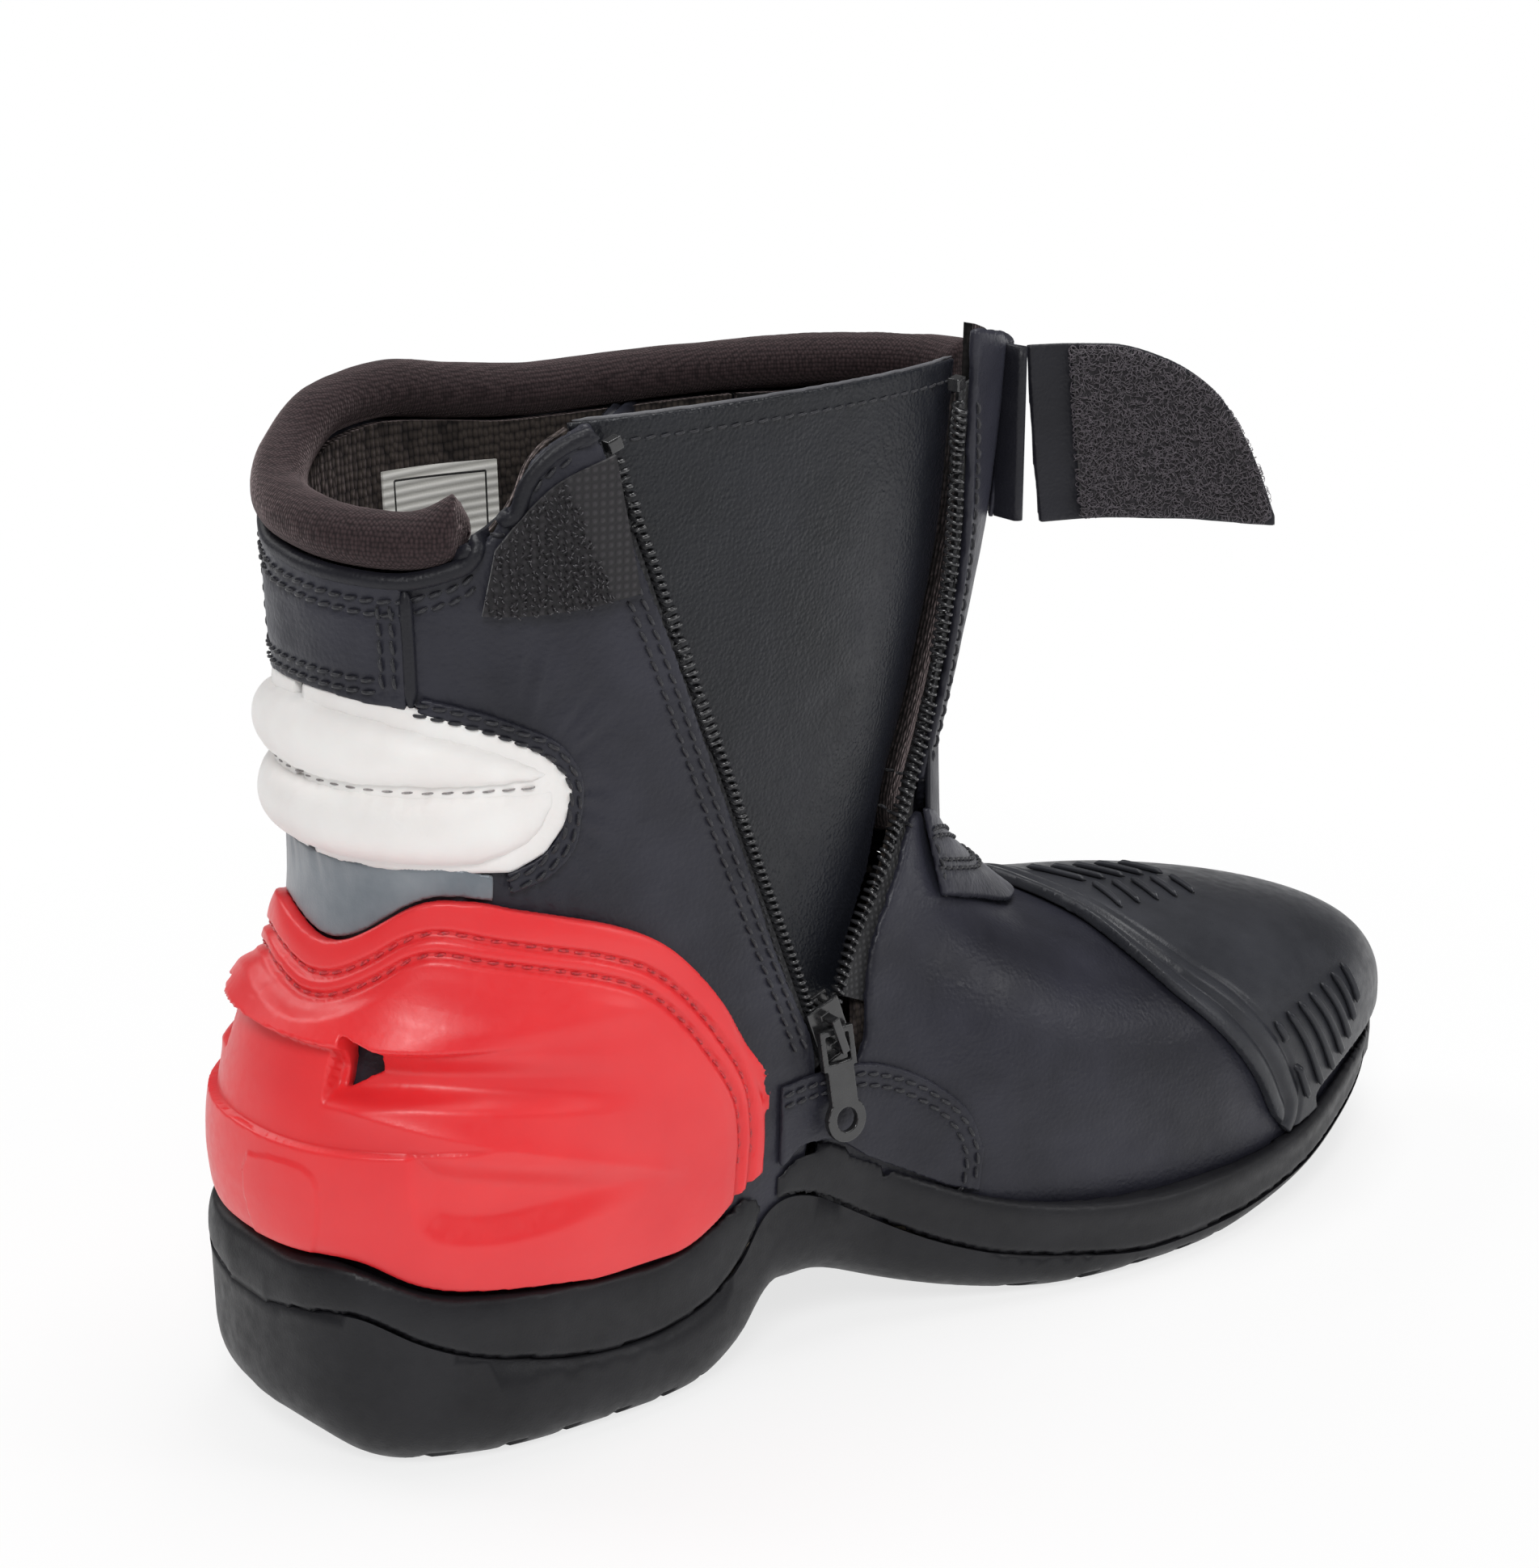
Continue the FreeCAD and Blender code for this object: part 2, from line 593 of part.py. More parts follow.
def lateral_grid(back_phi, rows=20, columns=18):
    """Lateral side, from the back seam to the seams of shin panel and vamp."""
    ends = [(58, 29), (62, 45), (70, 64), (84, 83), (91, 97)]
    seam = [tuple(hit(V(x, 0, z), V(0, 1, 0))) for x, z in ends]
    seam += on_wrap(level(LATERAL_SEAM), [120, 145, 165, top_edge(LATERAL_SEAM)])
    low = [tuple(around(phi, 29)) for phi in (back_phi, -30, -60, -90)] + seam[:1]
    high = on_top([back_phi, -20, -40, -60, -85, -110, -130, LATERAL_SEAM])
    left = on_wrap(level(back_phi), [29, 70, 120, top_edge(back_phi)])
    return coons(low, high, left, seam, rows, columns, from_axis(AXIS_X + 14))


def shin_grid(gap, rows=20, columns=12):
    """Front of the shaft, from beside the front chain round to the lateral seam."""
    edge = by(*front_edge(gap))
    low = [tuple(around(edge(112), 112))] + [(113, -19, 103), (122, -10, 97), (125, 0, 95), (122, 10, 97),
                                             (113, 19, 104)] + on_wrap(level(LATERAL_SEAM - 0.8), [113])
    tops = [(edge(205), 205), (166, 202), (171, 196), (175.5, 189), (180, 184.4), (187, 183.6), (196, 183.4)]
    high = [tuple(around(phi, z)) for phi, z in tops]
    high += on_wrap(level(LATERAL_SEAM - 0.8), [top_edge(LATERAL_SEAM)])
    left = on_wrap(edge, [112, 135, 158, 181, 205])
    right = on_wrap(level(LATERAL_SEAM - 0.8), [113, 135, 158, top_edge(LATERAL_SEAM)])
    return coons(low, high, left, right, rows, columns, from_axis(70))


def medial_quarter():
    return layer(quarter_grid(CHAIN_GAP, 0.6), *LEATHER)


def lateral_quarter():
    return layer(lateral_grid(-0.6), *LEATHER)


def shin_panel():
    return layer(shin_grid(CHAIN_GAP), *LEATHER)


def medial_patch():
    low = [(54, 43.4), (61, 46.2), (69, 44.8), (77, 39.4), (87, 33.8), (96, 28.8), (103.5, 26)]
    high = [(54, 60.5), (64, 60.5), (76, 59.5), (86, 56), (94, 51), (100.5, 44.5), (104, 36)]
    return layer(between(beside, low, high, 7, 13), OVERLAY[0], 1.3)


def back_tab():
    low = both_sides([0, 8, 16, 24], [149.8, 149.6, 148.8, 147.6])
    return layer(wrap(level(-24), level(24), low, top_edge, 11, 6), *OVERLAY)


def hook_patch():
    low = [(38.5, 165.5), (48, 165), (60, 165.3), (78, 167)]
    high = [(41.5, 177.5), (47, 183), (56, 189.2), (70.5, 193.4)]
    return layer(between(around, low, high, 9, 12), 1.05, 1.85)


def instep_strip():
    """Overlaid band that carries the instep in a slope from the shin panel to the vamp."""
    upper = [(104, -26, 106), (112, -18, 102.5), (117, -9, 99), (118.5, 0, 97.5), (117, 9, 99), (112, 19, 103),
             (106, 27, 109)]
    lower = [(104, -31, 98), (119, -23, 86), (137, -12, 75), (146, 0, 71), (137, 12, 75), (120, 23, 87),
             (107, 31, 98)]
    on_shin = from_axis(70)
    heart = V(88, 0, 62)
    grid = []
    for s in fractions(9):
        line = []
        for t in fractions(25):
            a, b = on_shin(V(*along(upper, t))), over(V(*along(lower, t)))
            bridge = a + (b - a) * s
            skin = hit(heart, (bridge - heart).normalize())
            line.append(bridge if (bridge - heart).Length > (skin - heart).Length else skin)
        grid.append(line)
    return layer(grid, OVERLAY[0] + 0.3, OVERLAY[1] + 0.2)


def pad_solid(low, high):
    def swell(s, t):
        return PAD_BASE + 0.7 + PAD_SWELL * (math.sin(math.pi * s) ** 0.6) * (math.sin(math.pi * t) ** 0.5)
    return layer(wrap(level(-PAD_TIP_PHI), level(PAD_TIP_PHI), low, high, 25, 9), PAD_BASE, swell)


def upper_pad():
    return pad_solid(level(PAD_SEAM_Z + 0.4), both_sides(PAD_PHI, PAD_TOP))


def lower_pad():
    return pad_solid(both_sides(PAD_PHI, PAD_BOTTOM), level(PAD_SEAM_Z - 0.4))


def pad_binding():
    """Leather strips that close the soft pads on both sides of the heel."""
    inner = [(25.5, 146), (35, 143.8), (44, 140.5), (52, 137), (57, 131), (55.5, 123.5), (49, 117.8),
             (42, 115.6)]
    outer = [(26.5, 150), (36, 147.6), (46, 144), (56, 139.4), (61.5, 131), (59.5, 120.5), (51, 113.8),
             (43, 111.6)]
    solids = []
    for way in (1, -1):
        first = [(way * phi, z) for phi, z in inner]
        last = [(way * phi, z) for phi, z in outer]
        solids.append(layer(between(around, first, last, 4, 22), OVERLAY[0], 1.5))
    return Part.Compound(solids)


def heel_band():
    low = by(CUP_PHI, [z + 0.6 for z in CUP_TOP])
    high = both_sides([0, 30, 40], [117.2, 117.2, 115])
    return layer(wrap(level(-39), level(39), low, high, 15, 4), *BAND)


def cup_thickness(s, t):
    """Cup offset: thin at its rim, thick where it stands off the heel."""
    middle = math.sin(math.pi * s) ** 0.5
    rise = math.sin(math.pi * min(max(t, 0), 1)) ** 0.7
    return CUP_RIM + (CUP_SWELL * rise + 0.8 * (1 - t)) * middle


def heel_cup():
    def low(phi):
        p = around(phi, 42)
        lift = 1.6 + 2.5 * max(0.0, (abs(phi) - 95) / 20)
        return max(feather_at(p.x), feather_at((p + outward(p) * 6).x)) + lift

    shell = layer(wrap(level(-CUP_END_PHI), level(CUP_END_PHI), low, by(CUP_PHI, CUP_TOP), 45, 12),
                  CUP_BASE, cup_thickness)
    for way in (1, -1):
        corners = [around(way * phi, z) for phi, z in CUP_WINDOW]
        normal = outward(corners[0])
        near = [c - normal * (6 + (c - corners[0]).dot(normal)) for c in corners]
        window = Part.Face(Part.makePolygon(near + near[:1])).extrude(normal * 24)
        shell = shell.cut(window)
    return shell


def heel_counter():
    high = both_sides([0, 60, 100], [86, 80, 52])
    return layer(wrap(level(-104), level(104), level(28), high, 21, 8), *STIFFENER)


def ankle_pad(way):
    low = [(way * 66, 100), (way * 80, 93), (way * 94, 98)]
    high = [(way * 66, 122), (way * 80, 129), (way * 92, 122)]
    return layer(between(around, low, high, 7, 7), *STIFFENER)


def lining_medial():
    return layer(quarter_grid(LINING_GAP, 0.6), *LINING)


def lining_lateral():
    return layer(lateral_grid(-0.6), *LINING)


def lining_front():
    return layer(shin_grid(LINING_GAP), *LINING)


def lining_foot():
    return layer(vamp_grid(), LINING[0] - 0.2, LINING[1] - 0.3)


def size_label():
    low = [(-103, 157), (-81, 157.5), (-60, 158)]
    high = [(-102.5, 176.5), (-81, 177.5), (-60, 178.2)]
    return layer(between(around, low, high, 4, 7), LINING[0] - 0.8, LINING[0] - 0.3)


def collar():
    path = []
    for phi in [COLLAR_START + (COLLAR_END - COLLAR_START) * f for f in fractions(40)]:
        z = curve(COLLAR_PHI, COLLAR_Z, phi)
        p = around(phi, z)
        path.append(p + outward(p) * COLLAR_SINK)
    return tube(path, COLLAR_RADIUS, COLLAR_RADIUS, lambda p: V(0, 0, 1))


def gusset():
    zs = [69, 77, 88, 102, 120, 140, 160, 180, 198]
    rear = [(chain_x(z) - 6.0, z) for z in zs]
    front = [(front_x(max(z, 75)) + 6.0 + min(z - 75, 0) * 0.3, z) for z in zs]
    points = between(beside, rear, front, 13, 17)

    def depth(s, t):
        return GUSSET_DEPTH - 3.0 * math.sin(math.pi * s) * t

    return layer(points, lambda s, t: depth(s, t) - 1.1, depth)


# ---- zip -----------------------------------------------------------------------------
def chain_frame():
    """Point at the lower end of the rear chain and its along, across and outward directions."""
    low, high = beside(*CHAIN_LOW), beside(*CHAIN_HIGH)
    start = low + outward(low) * COIL_LEVEL
    end = high + outward(high) * COIL_LEVEL
    along_dir = (end - start).normalize()
    out = (outward(low) + outward(high)).normalize()
    across = out.cross(along_dir).normalize()
    if across.x < 0:
        across = across * -1
    out = along_dir.cross(across).normalize()
    if out.y > 0:
        out = out * -1
    return start, along_dir, across, out, (end - start).Length


def zip_point(u, w, n):
    start, a, c, o, _ = chain_frame()
    return start + a * u + c * w + o * n


def tape(path, way):
    """Woven strip from beside the coil to under the leather; way picks the side."""
    top, bottom = [], []
    for i, p in enumerate(path):
        ahead = (path[min(i + 1, len(path) - 1)] - path[max(i - 1, 0)]).normalize()
        out = outward(p)
        side = out.cross(ahead).normalize()
        if side.x * way < 0:
            side = side * -1
        first = p + side * (COIL_WIDTH / 2 + 0.4) + out * TAPE_N
        top_row, bottom_row = [first + out * TAPE_THICKNESS], [first]
        for w in (4.5, 7, 9, TAPE_REACH):
            q = p + side * w
            on_skin = around(phi_of(q), q.z)
            base = on_skin + outward(on_skin) * (COIL_LEVEL + TAPE_N)
            top_row.append(base + outward(on_skin) * TAPE_THICKNESS)
            bottom_row.append(base)
        top.append(top_row)
        bottom.append(bottom_row)
    return sheet(top, bottom)


def rear_path():
    length = chain_frame()[4]
    return [zip_point(length * f, 0, 0) for f in fractions(20)]


def rear_coil():
    return tube(rear_path(), COIL_WIDTH / 2, COIL_HEIGHT / 2, lambda p: chain_frame()[3])


def front_path():
    """Front chain: meshed beside the rear one in the slider, then leaving it."""
    points = [zip_point(0.5, FRONT_MESH, 0), zip_point(3, FRONT_MESH, 0), zip_point(6, FRONT_MESH, 0),
              zip_point(8.4, FRONT_MESH + 0.9, 0), zip_point(11, 6.1, 0), zip_point(13.6, 9.0, -0.2)]
    for x, z in zip(FRONT_CHAIN_X[1:], FRONT_CHAIN_Z[1:]):
        p = beside(x, z)
        points.append(p + outward(p) * COIL_LEVEL)
    return [V(*along([tuple(q) for q in points], t)) for t in fractions(30)]


def front_coil():
    return tube(front_path(), COIL_WIDTH / 2, COIL_HEIGHT / 2, outward)


def zip_stops():
    _, a, c, o, length = chain_frame()
    rear = block(zip_point(length + 1.6, 0, 0), a, c, o, STOP)
    path = front_path()
    ahead = (path[-1] - path[-2]).normalize()
    out = outward(path[-1])
    side = out.cross(ahead).normalize()
    front = block(path[-1] + ahead * 1.6, ahead, side, out, STOP)
    low = block(zip_point(-1.8, FRONT_MESH / 2, 0), a, c, o, LOW_STOP)
    return rear, front, low


def slider():
    _, a, c, o, _ = chain_frame()
    u = SLIDER_REST
    plates = []
    for n in (CHANNEL / 2 + PLATE / 2, -CHANNEL / 2 - PLATE / 2):
        plates.append(block(zip_point(u, SLIDER_SHIFT, n), a, c, o, (SLIDER_LENGTH, SLIDER_WIDTH, PLATE)))
    height = CHANNEL + 2 * PLATE
    bridge = block(zip_point(u + 4.6, SLIDER_SHIFT + 0.6, 0), a, c, o, (2.2, 0.9, height - 0.2))
    flange = block(zip_point(u, SLIDER_SHIFT - SLIDER_WIDTH / 2 + 0.4, CHANNEL / 2 - 0.4), a, c, o,
                   (SLIDER_LENGTH - 3, 0.8, 1.6))
    top = CHANNEL / 2 + PLATE
    posts = [block(zip_point(u + k, SLIDER_SHIFT, top + 1.4), a, c, o, (1.2, 1.8, 3.0)) for k in (-3.6, 3.6)]
    bar = block(zip_point(u, SLIDER_SHIFT, top + LOOP_HEIGHT), a, c, o, (8.4, 1.8, 1.0))
    body = plates[0].fuse([plates[1], bridge, flange, bar] + posts)
    return body.removeSplitter()


def pull():
    """Tab that ends in a ring, hanging from the slider's loop."""
    pivot, across, down, out = pull_frame()
    head = block(pivot + down * 3.2, down, across, out, (8.4, PULL_HEAD, PULL_THICKNESS))
    ring_at = pivot + down * (PULL_LENGTH - 1.0 - PULL_WIDTH / 2)
    neck_length = PULL_LENGTH - PULL_WIDTH / 2 - 7.0
    neck = block(pivot + down * (7.0 + neck_length / 2 - 1.0), down, across, out,
                 (neck_length, PULL_NECK, PULL_THICKNESS))
    disc = Part.makeCylinder(PULL_WIDTH / 2, PULL_THICKNESS, ring_at - out * (PULL_THICKNESS / 2), out)
    window = block(pivot + down * 3.2, down, across, out, (5.8, 5.6, 5))
    hole = Part.makeCylinder(PULL_HOLE / 2, 8, ring_at - out * 4, out)
    return head.fuse([neck, disc]).removeSplitter().cut(window).cut(hole)


def pull_frame():
    """Pivot inside the loop, hinge axis, hanging direction and outward direction."""
    _, _, _, o, _ = chain_frame()
    top = CHANNEL / 2 + PLATE
    pivot = zip_point(SLIDER_REST, SLIDER_SHIFT, top + (LOOP_HEIGHT - 0.5) / 2)
    hang = V(0.06, 0, -1)
    down = (hang - o * hang.dot(o)).normalize()
    down = (down + o * PULL_LEAN).normalize()
    across = o.cross(down).normalize()
    out = down.cross(across).normalize()
    if out.y > 0:
        out = out * -1
    return pivot, across, down, out


# ---- strap ---------------------------------------------------------------------------
def strap_grid(low, high, phi_a, phi_b):
    return wrap(level(phi_a), level(phi_b), low, high, 20, 8)


def opened(shape):
    """Turn a shape from lying over the zip to the open rest pose."""
    shape = shape.copy()
    shape.rotate(V(STRAP_PIVOT[0], STRAP_PIVOT[1], 0), V(0, 0, 1), STRAP_OPEN)
    return shape


def strap():
    """Strap leather, cut round from its upper edge to a pointed lower corner."""
    low, high = by(STRAP_PHI, STRAP_BOTTOM), by(STRAP_PHI, STRAP_TOP)
    return opened(layer(strap_grid(low, high, STRAP_ROOT_PHI - 1.5, STRAP_TIP_PHI), *STRAP_LAYER))


def loop_face():
    low = by(STRAP_PHI, [z + 1.2 for z in STRAP_BOTTOM])
    high = by(STRAP_PHI, [z - 1.2 for z in STRAP_TOP])
    grid = strap_grid(low, high, STRAP_ROOT_PHI - 5.5, STRAP_TIP_PHI + 1.2)
    top = STRAP_LAYER[0] - 0.1
    return opened(layer(grid, top - LOOP_FACE_THICKNESS, top))


def strap_base():
    """Leather square sewn to the shin, which the strap folds from."""
    low, high = level(STRAP_LOW), level(STRAP_HIGH)
    grid = wrap(level(STRAP_ROOT_PHI + 1.5), level(STRAP_ROOT_PHI + 8), low, high, 6, 5)
    return layer(grid, OVERLAY[0], 1.3)


# ---- build ---------------------------------------------------------------------------
def build():
    block_all = sole_block()
    hole = foot_plug(floor_at, level(72), WALL_GAP, WALL_GAP_ENDS)
    rear_stop, front_stop, low_stop = zip_stops()
    return {
        "outsole": outsole(block_all, hole),
        "midsole": midsole(block_all, hole),
        "shank": shank(),
        "insole_board": insole_board(),
        "footbed": footbed(),
        "vamp": layer(vamp_grid(), *LEATHER),
        "toe_cap": layer(toe_cap_grid(), *TOE_CAP),
        "toe_puff": layer(toe_puff_grid(), *STIFFENER),
        "medial_quarter": medial_quarter(),
        "lateral_quarter": lateral_quarter(),
        "shin_panel": shin_panel(),
        "instep_strip": instep_strip(),
        "medial_patch": medial_patch(),
        "back_tab": back_tab(),
        "hook_patch": hook_patch(),
        "achilles_pad_upper": upper_pad(),
        "achilles_pad_lower": lower_pad(),
        "pad_binding": pad_binding(),
        "heel_band": heel_band(),
        "heel_cup": heel_cup(),
        "heel_counter": heel_counter(),
        "ankle_pad_medial": ankle_pad(1),
        "ankle_pad_lateral": ankle_pad(-1),
        "lining_medial": lining_medial(),
        "lining_lateral": lining_lateral(),
        "lining_front": lining_front(),
        "lining_foot": lining_foot(),
        "size_label": size_label(),
        "collar_roll": collar(),
        "gusset": gusset(),
        "zip_tape_rear": tape(rear_path(), -1),
        "zip_tape_front": tape(front_path()[8:], 1),
        "zip_coil_rear": rear_coil(),
        "zip_coil_front": front_coil(),
        "zip_stop_rear": rear_stop,
        "zip_stop_front": front_stop,
        "zip_stop_low": low_stop,
        "zip_slider": slider(),
        "zip_pull": pull(),
        "strap_base": strap_base(),
        "strap": strap(),
        "strap_loop_face": loop_face(),
    }


def main():
    os.makedirs("parts", exist_ok=True)
    for name, shape in build().items():
        if shape.ShapeType == "Compound" and len(shape.Solids) == 1:
            shape = shape.Solids[0]
        print(name, shape.ShapeType, round(shape.Volume / 1000, 2), "cm3", len(shape.Solids),
              "valid" if shape.isValid() else "NOT VALID")
        shape.exportStep("parts/" + name + ".step")


if __name__ == "__main__":
    main()
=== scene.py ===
"""Looks of a left motorcycle riding boot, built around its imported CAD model.

Everything is in metres in the model's own frame: origin on the ground under the
heel, +X to the toe, +Y to the outer side of the foot, +Z up. Outlines are given
in millimetres in three charts: WRAP (angle about the shaft's axis and height, 0
back, 90 inner side), SIDE (x and height, seen from the inner side) and SPACE
(x, y, z, moved to the nearest point of the surface).
"""
import json
import math
import random

import bmesh
import bpy
import numpy as np
from mathutils import Matrix, Vector, noise
from mathutils.bvhtree import BVHTree
from mathutils.kdtree import KDTree


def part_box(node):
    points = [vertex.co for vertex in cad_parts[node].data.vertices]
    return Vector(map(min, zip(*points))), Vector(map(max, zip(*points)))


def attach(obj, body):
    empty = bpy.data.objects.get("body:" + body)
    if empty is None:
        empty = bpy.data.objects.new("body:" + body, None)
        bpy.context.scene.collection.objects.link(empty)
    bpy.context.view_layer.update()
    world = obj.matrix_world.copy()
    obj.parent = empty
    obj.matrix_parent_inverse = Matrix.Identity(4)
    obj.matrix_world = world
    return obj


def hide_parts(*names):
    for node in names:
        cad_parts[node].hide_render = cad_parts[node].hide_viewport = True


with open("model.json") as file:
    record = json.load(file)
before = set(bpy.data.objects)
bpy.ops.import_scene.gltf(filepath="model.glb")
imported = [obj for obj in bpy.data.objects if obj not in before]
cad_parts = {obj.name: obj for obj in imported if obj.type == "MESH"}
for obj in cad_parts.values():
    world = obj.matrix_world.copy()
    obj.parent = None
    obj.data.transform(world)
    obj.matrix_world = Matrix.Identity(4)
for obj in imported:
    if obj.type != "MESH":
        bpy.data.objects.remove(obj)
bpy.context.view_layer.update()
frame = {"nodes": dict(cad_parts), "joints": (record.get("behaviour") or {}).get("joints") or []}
cad = frame["nodes"]
MM = 0.001
AXIS_X = 28.0
random.seed(7)

LEATHER_NODES = ["vamp", "medial_quarter", "lateral_quarter", "shin_panel"]


# ---- charts ------------------------------------------------------------------------
def tree_of(names):
    """Ray-cast tree over some CAD nodes or finished pieces."""
    verts, faces = [], []
    for name in names:
        mesh = (cad[name] if name in cad else bpy.data.objects[name]).data
        base = len(verts)
        verts += [v.co.copy() for v in mesh.vertices]
        faces += [[base + i for i in p.vertices] for p in mesh.polygons]
    return BVHTree.FromPolygons(verts, faces)


def facing(normal, way):
    return normal if normal.dot(way) > 0 else -normal


def from_ray(tree, origin, way):
    place, normal, _, _ = tree.ray_cast(origin, way, 0.4)
    if place is None:
        place, normal, _, _ = tree.find_nearest(origin + way * 0.12)
    return place, facing(normal, -way)


def WRAP(tree, phi, z):
    a = math.radians(phi)
    way = Vector((math.cos(a), math.sin(a), 0))
    return from_ray(tree, Vector((AXIS_X, 0, z)) * MM - way * 0.2, way)


def SIDE(tree, x, z):
    return from_ray(tree, Vector((x, -160, z)) * MM, Vector((0, 1, 0)))


def OUTER(tree, x, z):
    return from_ray(tree, Vector((x, 160, z)) * MM, Vector((0, -1, 0)))


def SPACE(tree, x, y, z):
    place, normal, _, _ = tree.find_nearest(Vector((x, y, z)) * MM)
    return place, facing(normal, Vector((x - 110, y, z - 20)))


def TOWARDS_INSTEP(tree, x, y, z):
    """From outside, straight at the middle of the instep."""
    heart = Vector((88, 0, 62)) * MM
    way = (heart - Vector((x, y, z)) * MM).normalized()
    return from_ray(tree, heart - way * 0.12, way)


def smooth_line(points, per_span=10):
    """Points along a Catmull-Rom curve through chart points."""
    pts = np.array(points, float)
    ext = np.vstack([2 * pts[0] - pts[1], pts, 2 * pts[-1] - pts[-2]])
    out = []
    for i in range(1, len(ext) - 2):
        p0, p1, p2, p3 = ext[i - 1:i + 3]
        for t in np.arange(per_span) / per_span:
            out.append(0.5 * (2 * p1 + (p2 - p0) * t + (2 * p0 - 5 * p1 + 4 * p2 - p3) * t * t
                              + (3 * p1 - p0 - 3 * p2 + p3) * t**3))
    out.append(pts[-1])
    return out


def line_on(tree, chart, points, step=0.8):
    """Evenly spaced (place, normal) pairs along a smooth line on a surface."""
    raw = [chart(tree, *p) for p in smooth_line(points)]
    out = [raw[0]]
    left = step * MM
    for (a, na), (b, nb) in zip(raw, raw[1:]):
        span = (b - a).length
        if span > 0.02:
            continue
        done = 0.0
        while span - done > left:
            done += left
            t = done / span
            out.append((a.lerp(b, t), na.lerp(nb, t).normalized()))
            left = step * MM
        left -= span - done
    return out


# ---- meshes ------------------------------------------------------------------------
def new_object(name, verts, faces, smooth=True):
    mesh = bpy.data.meshes.new(name)
    mesh.from_pydata([tuple(v) for v in verts], [], faces)
    mesh.validate()
    mesh.polygons.foreach_set("use_smooth", [smooth] * len(mesh.polygons))
    obj = bpy.data.objects.new(name, mesh)
    bpy.context.scene.collection.objects.link(obj)
    return obj


def finish_piece(obj, body, slot, material, *replaced):
    obj.data.materials.clear()
    obj.data.materials.append(material)
    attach(obj, body)
    if replaced:
        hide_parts(*replaced)
    return obj


def applied(obj):
    """Replace the mesh with what its modifiers make of it."""
    graph = bpy.context.evaluated_depsgraph_get()
    mesh = bpy.data.meshes.new_from_object(obj.evaluated_get(graph))
    obj.modifiers.clear()
    obj.data = mesh
    return obj


def skin_of(node, name, voxel, snap=True, relax=2):
    """Even quad skin over a CAD node, resting on the CAD surface."""
    source = cad[node]
    obj = bpy.data.objects.new(name, source.data.copy())
    bpy.context.scene.collection.objects.link(obj)
    remesh = obj.modifiers.new("remesh", "REMESH")
    remesh.mode = "VOXEL"
    remesh.voxel_size = voxel * MM
    if snap:
        wrap = obj.modifiers.new("wrap", "SHRINKWRAP")
        wrap.target = source
        wrap.wrap_method = "NEAREST_SURFACEPOINT"
    if relax:
        soften = obj.modifiers.new("soften", "SMOOTH")
        soften.iterations = relax
        soften.factor = 0.5
    applied(obj)
    obj.data.polygons.foreach_set("use_smooth", [True] * len(obj.data.polygons))
    return obj


def coords(obj):
    co = np.empty(len(obj.data.vertices) * 3)
    obj.data.vertices.foreach_get("co", co)
    return co.reshape(-1, 3)


def normals(obj):
    n = np.empty(len(obj.data.vertices) * 3)
    obj.data.vertex_normals.foreach_get("vector", n)
    return n.reshape(-1, 3)


def move_out(obj, offset):
    """Move vertices along their normals by offsets in millimetres."""
    co = coords(obj) + normals(obj) * (np.asarray(offset)[:, None] * MM)
    obj.data.vertices.foreach_set("co", co.ravel())
    obj.data.update()


def stand_off(obj, tree):
    """For each vertex, height in mm above the leather under it and the outward direction there."""
    heights, ways = [], []
    for c in coords(obj):
        place, normal, _, _ = tree.find_nearest(Vector(c))
        gap = Vector(c) - place
        if gap.length > 1e-7 and gap.dot(normal) < 0:
            normal = -normal
        heights.append(gap.length / MM)
        ways.append((gap.normalized() if gap.length > 0.25 * MM else normal)[:])
    return np.array(heights), np.array(ways)


def move_along(obj, ways, offset):
    co = coords(obj) + ways * (np.asarray(offset)[:, None] * MM)
    obj.data.vertices.foreach_set("co", co.ravel())
    obj.data.update()


def distances(obj, lines, reach=8.0):
    """Distance to the nearest line point in mm, outward-facing vertices only, and its index."""
    points = [pair for line in lines for pair in line]
    kd = KDTree(len(points))
    for i, (place, _) in enumerate(points):
        kd.insert(place, i)
    kd.balance()
    co, no = coords(obj), normals(obj)
    low = np.min([p for p, _ in points], axis=0) - reach * MM
    high = np.max([p for p, _ in points], axis=0) + reach * MM
    inside = np.all((co > low) & (co < high), axis=1)
    out = np.full(len(co), 999.0)
    for i in np.flatnonzero(inside):
        _, k, d = kd.find(co[i])
        if d < reach * MM and points[k][1].dot(Vector(no[i])) > 0.25:
            out[i] = d / MM
    return out


def bump_at(d, height, width):
    return height * np.exp(-(d / width)**2)


def crease(obj, lines, height, width):
    """Groove (negative height) or ridge along lines."""
    move_out(obj, bump_at(distances(obj, lines, 3 * width), height, width))


def lumps(obj, scale, height, stretch=(1, 1, 1), seed=0.0):
    """Slow irregular waves, as in leather pulled over a last."""
    shift = Vector((seed, seed * 1.7, -seed))
    k = Vector(stretch) * (1000.0 / scale)
    values = [noise.noise(Vector((c[0] * k.x, c[1] * k.y, c[2] * k.z)) + shift) for c in coords(obj)]
    move_out(obj, np.array(values) * height)


